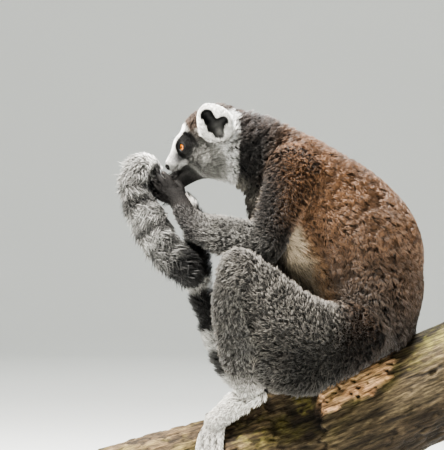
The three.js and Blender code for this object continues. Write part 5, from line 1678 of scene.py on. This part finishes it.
# =====================================================================================
# The perch: a length of dead branch, its bark split along the grain, flaking and mossed in places
# =====================================================================================
def branch_line(count):
    P = np.array([at(u, v) for u, v in BRANCH])
    P = np.vstack([2 * P[0] - P[1], P, 2 * P[-1] - P[-2]])
    out = []
    for i in range(1, len(P) - 2):
        a, b, d, e = P[i - 1], P[i], P[i + 1], P[i + 2]
        for k in range(60):
            t = k / 60
            out.append(0.5 * (2 * b + (d - a) * t + (2 * a - 5 * b + 4 * d - e) * t * t + (3 * b - a - 3 * d + e) * t**3))
    out.append(P[-2])
    Q = np.array(out)
    s = np.concatenate([[0], np.cumsum(np.linalg.norm(np.diff(Q, axis=0), axis=1))])
    w = np.linspace(0, s[-1], count)
    R = np.stack([np.interp(w, s, Q[:, k]) for k in range(3)], 1)
    T = np.gradient(R, axis=0)
    T /= np.linalg.norm(T, axis=1)[:, None]
    return R, T, w


def make_branch():
    NT, NA = 320, 220
    R, T, w = branch_line(NT)
    total = w[-1]
    side = np.array([0, 1.0, 0])
    U = np.cross(side, T)
    U *= np.sign(U[:, 2])[:, None]
    a = np.linspace(0, 2 * np.pi, NA, endpoint=False)
    tt = (w / total)[:, None]
    aa = a[None, :]
    r0 = BRANCH_R * (1 + 0.018 * np.sin(3 * aa + 5 * tt) + 0.012 * np.sin(5 * aa - 7 * tt))
    Wd, Aa = np.meshgrid(w, a, indexing="ij")
    arc = Aa * BRANCH_R
    # noise that wraps round the branch: sampled on a cylinder stretched along the grain
    def cyl(along, across, seed, twist=0.0):
        ph = Aa + twist * Wd / total
        rr = BRANCH_R / across
        return np.stack([Wd / along, rr * np.cos(ph), rr * np.sin(ph)], -1).reshape(-1, 3)

    def nz(along, across, seed, n=3, twist=0.35):
        return fbm(cyl(along, across, seed, twist), 1.0, seed, n).reshape(Wd.shape)

    warp = nz(90, 30, 3, 2) * 0.5
    grain = nz(46, 4.4, 11, 3, 0.35)
    fine = nz(17, 1.7, 12, 2, 0.35)
    cracks = 1 - np.abs(nz(70, 7.5, 13, 3, 0.35)) * 2
    cracks = np.clip((cracks - 0.72) / 0.28, 0, 1) ** 1.6
    pos = R[:, None, :] + (U[:, None, :] * np.cos(Aa)[..., None] + side * np.sin(Aa)[..., None]) * r0[..., None]
    u = pos[..., 0] / UNIT + U0
    v = V0 - pos[..., 2] / UNIT
    near = 1 - smooth(-5, 25, pos[..., 1])
    rag = nz(9, 7, 21, 3) * 1.0
    rag2 = nz(26, 14, 22, 2)
    # bark that is still on: left of the animal, in strips on the right, and the flap under the rump
    def patch(cu, cv, ru, rv, rot, soft=0.22):
        ca, sa = math.cos(rot), math.sin(rot)
        x, z = (u - cu) * ca + (v - cv) * sa, -(u - cu) * sa + (v - cv) * ca
        d = np.sqrt((x / ru) ** 2 + (z / rv) ** 2) + 0.32 * rag + 0.2 * rag2
        return 1 - smooth(1 - soft, 1 + soft, d)

    flap = np.maximum(patch(358, 376, 40, 18, -0.5, 0.09), patch(332, 397, 22, 12, -0.62, 0.09)) * near
    left_bark = (1 - smooth(262, 300, u + 22 * rag2 + 9 * rag))
    far_bark = smooth(-5, 30, pos[..., 1]) * smooth(-0.2, 0.25, rag2 + 0.3 * rag)
    under = smooth(0.1, 0.5, -np.cos(Aa) + 0.5 * rag2) * 0.8
    bark = np.clip(np.maximum.reduce([left_bark, far_bark, under]), 0, 1)
    # a torn layer: sound wood to the right stands proud of the rotten wood to its left, which also carries the leg's
    # shadow painted dark
    torn = smooth(-1.2, 1.2, u - 321 - 9 * rag - 5 * rag2) * near * smooth(-0.25, 0.1, np.cos(Aa) + 0.55)
    rot = np.clip(patch(300, 420, 30, 20, -0.45, 0.3) * near - torn, 0, 1)
    holes = np.clip((nz(5, 4.2, 31, 2, 0) - 0.34) / 0.2, 0, 1) * flap
    plates = 1 - np.abs(nz(24, 9, 33, 3, 0.2)) * 2.2
    plates = np.clip((plates - 0.55) / 0.45, 0, 1)
    h = 0.75 * grain + 0.35 * fine - 1.3 * cracks * (1 - bark)
    h += bark * (1.6 + 0.9 * rag - 2.6 * plates)
    h += flap * (3.2 + 0.6 * rag) - holes * 3.4
    h += torn * 2.6 - rot * 3.6
    knot = patch(430, 372, 9, 6, -0.4, 0.5) * near
    h += knot * 2.0 - patch(430, 372, 4, 2.6, -0.4, 0.4) * near * 3.0
    h += 10.0 * np.exp(-(((u - 273) / 24) ** 2)) * smooth(0.72, 0.97, np.cos(Aa - 0.15))
    end = np.minimum(w, total - w)[:, None]
    h *= smooth(0, 10, end) * 1.0 + 0.0
    h -= (1 - smooth(0, 2.5, end)) * 1.1
    # nothing rises into the animal's seat or its feet
    seat = 1 - smooth(2.0, 9.0, GS.sample(pos.reshape(-1, 3)).reshape(Wd.shape))
    h = np.where(h > 0, h * (1 - seat), h)
    r = r0 + h
    pos = R[:, None, :] + (U[:, None, :] * np.cos(Aa)[..., None] + side * np.sin(Aa)[..., None]) * r[..., None]
    # colours
    P3 = pos.reshape(-1, 3)
    wood = lerp(np.tile(lin(88, 77, 57), (P3.shape[0], 1)), lin(48, 40, 28), np.clip(0.5 - 0.6 * grain.ravel() - 0.25 * fine.ravel(), 0, 1))
    wood = lerp(wood, lin(156, 138, 104), np.clip(0.9 * fine.ravel(), 0, 1) * 0.5)
    barkc = lerp(np.tile(lin(98, 82, 60), (P3.shape[0], 1)), lin(52, 43, 32), np.clip(0.45 - 0.7 * rag.ravel() + 0.7 * plates.ravel(), 0, 1))
    barkc = lerp(barkc, lin(140, 124, 96), np.clip(rag.ravel() * 1.1 - 0.25, 0, 1) * 0.6)
    col = lerp(wood, barkc, bark.ravel())
    flapc = lerp(np.tile(lin(232, 190, 150), (P3.shape[0], 1)), lin(172, 130, 92), np.clip(0.5 - 0.8 * rag.ravel(), 0, 1))
    col = lerp(col, flapc, flap.ravel() * 0.95)
    # dark patch: rotten wood with the leg's shadow painted in
    col = lerp(col, lin(30, 23, 16), rot.ravel() * 0.95)
    # painted shade: a near-black band along the foot of the torn edge, on its left
    step = (u - 321 - 9 * rag - 5 * rag2).ravel()
    col = lerp(col, lin(17, 13, 10), smooth(-7, -2.5, step) * (1 - smooth(-1.0, 0.6, step)) * near.ravel() * smooth(0.0, 0.5, np.cos(Aa) + 0.6).ravel() * (1 - flap.ravel()) * 0.85)
    # painted shade in the recesses: holes and cracks near-black
    col = lerp(col, lin(26, 20, 14), np.clip(holes.ravel() + 0.75 * cracks.ravel() * (1 - bark.ravel()), 0, 1))
    moss = np.clip(nz(22, 16, 41, 3).ravel() * 1.7 + 0.06, 0, 1) * np.clip(np.cos(Aa).ravel() * 1.2 + 0.45, 0, 1)
    spots = (
        patch(250, 436, 16, 8, -0.4) + patch(303, 402, 10, 9, -0.4) + patch(437, 336, 16, 9, -0.4) + 0.7 * patch(350, 345, 20, 8, -0.4) + 0.55 * patch(420, 355, 34, 12, -0.4)
    ).ravel()
    mossy = np.clip(moss * 0.45 + spots * np.clip(0.35 + 1.4 * nz(6, 5, 43, 2).ravel(), 0, 1), 0, 1)
    col = lerp(col, lin(126, 118, 62), mossy * 0.7)
    # painted shade: the lower half of the branch darkened
    low = smooth(-0.35, 0.6, -np.cos(Aa).ravel())
    col = lerp(col, col * 0.36, low)
    col *= (1 + 0.14 * fbm(P3, 40, 51))[:, None]
    n = NT * NA
    idx = np.arange(n).reshape(NT, NA)
    q = np.stack([idx[:-1], np.roll(idx, -1, 1)[:-1], np.roll(idx, -1, 1)[1:], idx[1:]], -1).reshape(-1, 4)
    co = [P3]
    cols = [col]
    faces = [q]
    endmask = [np.zeros(n)]
    base = n
    for which in (0, NT - 1):
        rim = pos[which]
        centre = R[which] + T[which] * (0.0)
        prev = idx[which]
        K_ = 16
        for k in range(1, K_ + 1):
            f = 1 - k / K_
            if k < K_:
                ring = centre + (rim - centre) * f
                rr = f * BRANCH_R
                ringn = 0.25 * np.sin(rr * 2.4) - 0.9 * np.clip(np.cos(a * 5 + 1.3) - 0.96, 0, 1) * 20 * f * 0.3
                ring = ring + (T[which] * (-1 if which == 0 else 1)) * ringn[:, None]
                co.append(ring)
                c1 = lerp(np.tile(lin(196, 168, 126), (NA, 1)), lin(142, 112, 76), np.full(NA, 0.5 + 0.5 * math.sin(rr * 2.4)))
                c1 = lerp(c1, lin(90, 68, 46), np.full(NA, 1.0 if f > 0.93 else 0.0))
                cols.append(c1)
                endmask.append(np.ones(NA))
                cur = base + np.arange(NA)
                base += NA
                faces.append(np.stack([prev, np.roll(prev, -1), np.roll(cur, -1), cur], -1))
                prev = cur
            else:
                co.append(centre[None])
                cols.append(lin(120, 92, 62)[None])
                endmask.append(np.ones(1))
                cur = base
                base += 1
                faces.append(np.stack([prev, np.roll(prev, -1), np.full(NA, cur)], -1))
    quads = [f for f in faces if f.shape[1] == 4]
    tris = [f for f in faces if f.shape[1] == 3]
    ob = mesh_object("branch_bark", np.concatenate(co), [np.concatenate(quads), np.concatenate(tris)])
    bm = bmesh.new()
    bm.from_mesh(ob.data)
    bmesh.ops.recalc_face_normals(bm, faces=bm.faces)
    bm.to_mesh(ob.data)
    bm.free()
    set_tone(ob.data, np.concatenate(cols))
    m, nt, bsdf = new_material("branch_wood")
    tone = nt.nodes.new("ShaderNodeAttribute")
    tone.attribute_name = "tone"
    tc = nt.nodes.new("ShaderNodeTexCoord")
    mp = nt.nodes.new("ShaderNodeMapping")
    mp.vector_type = "TEXTURE"
    mp.inputs["Rotation"].default_value = (0, math.radians(-21), 0)
    mp.inputs["Scale"].default_value = (5.5, 1.0, 1.0)
    nt.links.new(tc.outputs["Object"], mp.inputs["Vector"])
    n1 = nt.nodes.new("ShaderNodeTexNoise")
    n1.inputs["Scale"].default_value = 520
    n1.inputs["Detail"].default_value = 5
    n1.inputs["Roughness"].default_value = 0.7
    nt.links.new(mp.outputs["Vector"], n1.inputs["Vector"])
    r1 = nt.nodes.new("ShaderNodeMapRange")
    r1.inputs["From Min"].default_value, r1.inputs["From Max"].default_value = 0.36, 0.64
    r1.inputs["To Min"].default_value, r1.inputs["To Max"].default_value = 0.42, 1.5
    nt.links.new(n1.outputs["Fac"], r1.inputs["Value"])
    mp2 = nt.nodes.new("ShaderNodeMapping")
    mp2.vector_type = "TEXTURE"
    mp2.inputs["Rotation"].default_value = (0, math.radians(-21), 0)
    mp2.inputs["Scale"].default_value = (16.0, 1.0, 1.0)
    nt.links.new(tc.outputs["Object"], mp2.inputs["Vector"])
    n2 = nt.nodes.new("ShaderNodeTexNoise")
    n2.inputs["Scale"].default_value = 260
    n2.inputs["Detail"].default_value = 4
    nt.links.new(mp2.outputs["Vector"], n2.inputs["Vector"])
    r2 = nt.nodes.new("ShaderNodeMapRange")
    r2.inputs["From Min"].default_value, r2.inputs["From Max"].default_value = 0.36, 0.62
    r2.inputs["To Min"].default_value, r2.inputs["To Max"].default_value = 0.42, 1.25
    nt.links.new(n2.outputs["Fac"], r2.inputs["Value"])
    both = nt.nodes.new("ShaderNodeMath")
    both.operation = "MULTIPLY"
    nt.links.new(r1.outputs["Result"], both.inputs[0])
    nt.links.new(r2.outputs["Result"], both.inputs[1])
    mix = nt.nodes.new("ShaderNodeVectorMath")
    mix.operation = "SCALE"
    nt.links.new(tone.outputs["Color"], mix.inputs[0])
    nt.links.new(both.outputs["Value"], mix.inputs["Scale"])
    nt.links.new(mix.outputs["Vector"], bsdf.inputs["Base Color"])
    high = nt.nodes.new("ShaderNodeMath")
    high.operation = "ADD"
    nt.links.new(n1.outputs["Fac"], high.inputs[0])
    nt.links.new(n2.outputs["Fac"], high.inputs[1])
    bump = nt.nodes.new("ShaderNodeBump")
    bump.inputs["Strength"].default_value = 0.9
    bump.inputs["Distance"].default_value = 0.0016
    nt.links.new(high.outputs["Value"], bump.inputs["Height"])
    nt.links.new(bump.outputs["Normal"], bsdf.inputs["Normal"])
    bsdf.inputs["Roughness"].default_value = 0.85
    bsdf.inputs["Specular IOR Level"].default_value = 0.25
    ob.data.materials.append(m)
    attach(ob, "root")
    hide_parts("perch_branch")


make_branch()
stamp("branch")


# =====================================================================================
# The stand keeps its CAD shape and gets its finish here
# =====================================================================================
def wood_base():
    m, nt, bsdf = new_material("stand_base_wood")
    tc = nt.nodes.new("ShaderNodeTexCoord")
    mp = nt.nodes.new("ShaderNodeMapping")
    mp.inputs["Scale"].default_value = (0.5, 6.0, 6.0)
    nt.links.new(tc.outputs["Object"], mp.inputs["Vector"])
    n = nt.nodes.new("ShaderNodeTexNoise")
    n.inputs["Scale"].default_value = 14
    n.inputs["Detail"].default_value = 6
    n.inputs["Distortion"].default_value = 0.6
    nt.links.new(mp.outputs["Vector"], n.inputs["Vector"])
    ramp = nt.nodes.new("ShaderNodeValToRGB")
    ramp.color_ramp.elements[0].position, ramp.color_ramp.elements[0].color = 0.32, (*lin(62, 42, 28), 1)
    ramp.color_ramp.elements[1].position, ramp.color_ramp.elements[1].color = 0.68, (*lin(104, 74, 50), 1)
    nt.links.new(n.outputs["Fac"], ramp.inputs["Fac"])
    nt.links.new(ramp.outputs["Color"], bsdf.inputs["Base Color"])
    bump = nt.nodes.new("ShaderNodeBump")
    bump.inputs["Strength"].default_value = 0.25
    bump.inputs["Distance"].default_value = 0.0005
    nt.links.new(n.outputs["Fac"], bump.inputs["Height"])
    nt.links.new(bump.outputs["Normal"], bsdf.inputs["Normal"])
    bsdf.inputs["Roughness"].default_value = 0.42
    return m


def rod_metal():
    m, nt, bsdf = new_material("stand_rod_metal")
    tc = nt.nodes.new("ShaderNodeTexCoord")
    n = nt.nodes.new("ShaderNodeTexNoise")
    n.inputs["Scale"].default_value = 260
    n.inputs["Detail"].default_value = 3
    nt.links.new(tc.outputs["Object"], n.inputs["Vector"])
    ramp = nt.nodes.new("ShaderNodeValToRGB")
    ramp.color_ramp.elements[0].position, ramp.color_ramp.elements[0].color = 0.35, (*lin(34, 34, 35), 1)
    ramp.color_ramp.elements[1].position, ramp.color_ramp.elements[1].color = 0.65, (*lin(52, 52, 54), 1)
    nt.links.new(n.outputs["Fac"], ramp.inputs["Fac"])
    nt.links.new(ramp.outputs["Color"], bsdf.inputs["Base Color"])
    bump = nt.nodes.new("ShaderNodeBump")
    bump.inputs["Strength"].default_value = 0.2
    bump.inputs["Distance"].default_value = 0.0002
    nt.links.new(n.outputs["Fac"], bump.inputs["Height"])
    nt.links.new(bump.outputs["Normal"], bsdf.inputs["Normal"])
    bsdf.inputs["Roughness"].default_value = 0.5
    return m


_wood, _rod = wood_base(), rod_metal()
for _n_, _m_ in (("stand_base", _wood), ("stand_rod_front", _rod), ("stand_rod_back", _rod)):
    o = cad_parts[_n_]
    if len(o.material_slots) == 0:
        o.data.materials.append(_m_)
    for sl in o.material_slots:
        sl.material = _m_


# =====================================================================================
# Floor, light and camera
# =====================================================================================
def make_floor():
    """A wide pale floor that curves up into a low wall far out, the same from every side."""
    N_ = 96
    prof = [(600, 0), (1600, 0), (3500, 0), (6000, 0)]
    prof += [(6000 + 2600 * math.sin(math.radians(a)), 2600 * (1 - math.cos(math.radians(a)))) for a in range(10, 91, 10)]
    prof += [(8600, 3600)]
    co = [[0, 0, -0.5]]
    for rad, z in prof:
        for j in range(N_):
            a = 2 * math.pi * j / N_
            co.append([rad * math.cos(a), rad * math.sin(a), z - 0.5])
    tris = [[0, 1 + j, 1 + (j + 1) % N_] for j in range(N_)]
    quads = []
    for k in range(len(prof) - 1):
        for j in range(N_):
            a, b = 1 + k * N_ + j, 1 + k * N_ + (j + 1) % N_
            quads.append([a, a + N_, b + N_, b])
    ob = mesh_object("floor", np.array(co, float), [np.array(quads), np.array(tris)])
    m, nt, bsdf = new_material("floor_paint")
    tc = nt.nodes.new("ShaderNodeTexCoord")
    n = nt.nodes.new("ShaderNodeTexNoise")
    n.inputs["Scale"].default_value = 1.2
    nt.links.new(tc.outputs["Object"], n.inputs["Vector"])
    r = nt.nodes.new("ShaderNodeValToRGB")
    r.color_ramp.elements[0].color = (0.70, 0.71, 0.69, 1)
    r.color_ramp.elements[1].color = (0.74, 0.75, 0.73, 1)
    nt.links.new(n.outputs["Fac"], r.inputs["Fac"])
    nt.links.new(r.outputs["Color"], bsdf.inputs["Base Color"])
    bsdf.inputs["Roughness"].default_value = 0.9
    ob.data.materials.append(m)


make_floor()


def area(name, loc, target, size, power, colour):
    ld = bpy.data.lights.new(name, "AREA")
    ld.shape = "DISK"
    ld.size = size
    ld.energy = power
    ld.color = colour
    ob = bpy.data.objects.new(name, ld)
    bpy.context.scene.collection.objects.link(ob)
    ob.location = loc
    d = Vector(target) - Vector(loc)
    ob.rotation_euler = d.to_track_quat("-Z", "Y").to_euler()
    return ob


area("key", (-1.0, -0.5, 2.55), (0, 0, 0.36), 0.7, 440, (1.0, 0.96, 0.90))
area("rim", (0.45, 0.8, 2.3), (0.05, 0, 0.36), 0.6, 165, (0.95, 0.98, 1.0))
area("fill", (-1.0, -2.7, 1.5), (0, 0, 0.34), 1.8, 4, (0.96, 0.98, 1.0))
area("wall_wash", (0, 3.6, 3.4), (0, 8.6, 0.4), 1.6, 120, (0.97, 1.0, 0.98))

world = bpy.data.worlds.new("studio")
bpy.context.scene.world = world
world.use_nodes = True
wn = world.node_tree
bg = wn.nodes["Background"]
bg.inputs["Color"].default_value = (0.74, 0.78, 0.76, 1)
bg.inputs["Strength"].default_value = 0.17

cam_data = bpy.data.cameras.new("camera")
cam = bpy.data.objects.new("camera", cam_data)
bpy.context.scene.collection.objects.link(cam)
cam.location = (-0.0858, -3.5, 0.385)
cam.rotation_euler = (math.radians(90), 0, 0)
cam_data.sensor_width = 36
cam_data.sensor_fit = "AUTO"
cam_data.lens = 36 * 3.5 / 0.495
cam_data.clip_end = 60
bpy.context.scene.camera = cam

bpy.context.scene.view_settings.look = "AgX - Medium High Contrast"

bpy.context.view_layer.update()
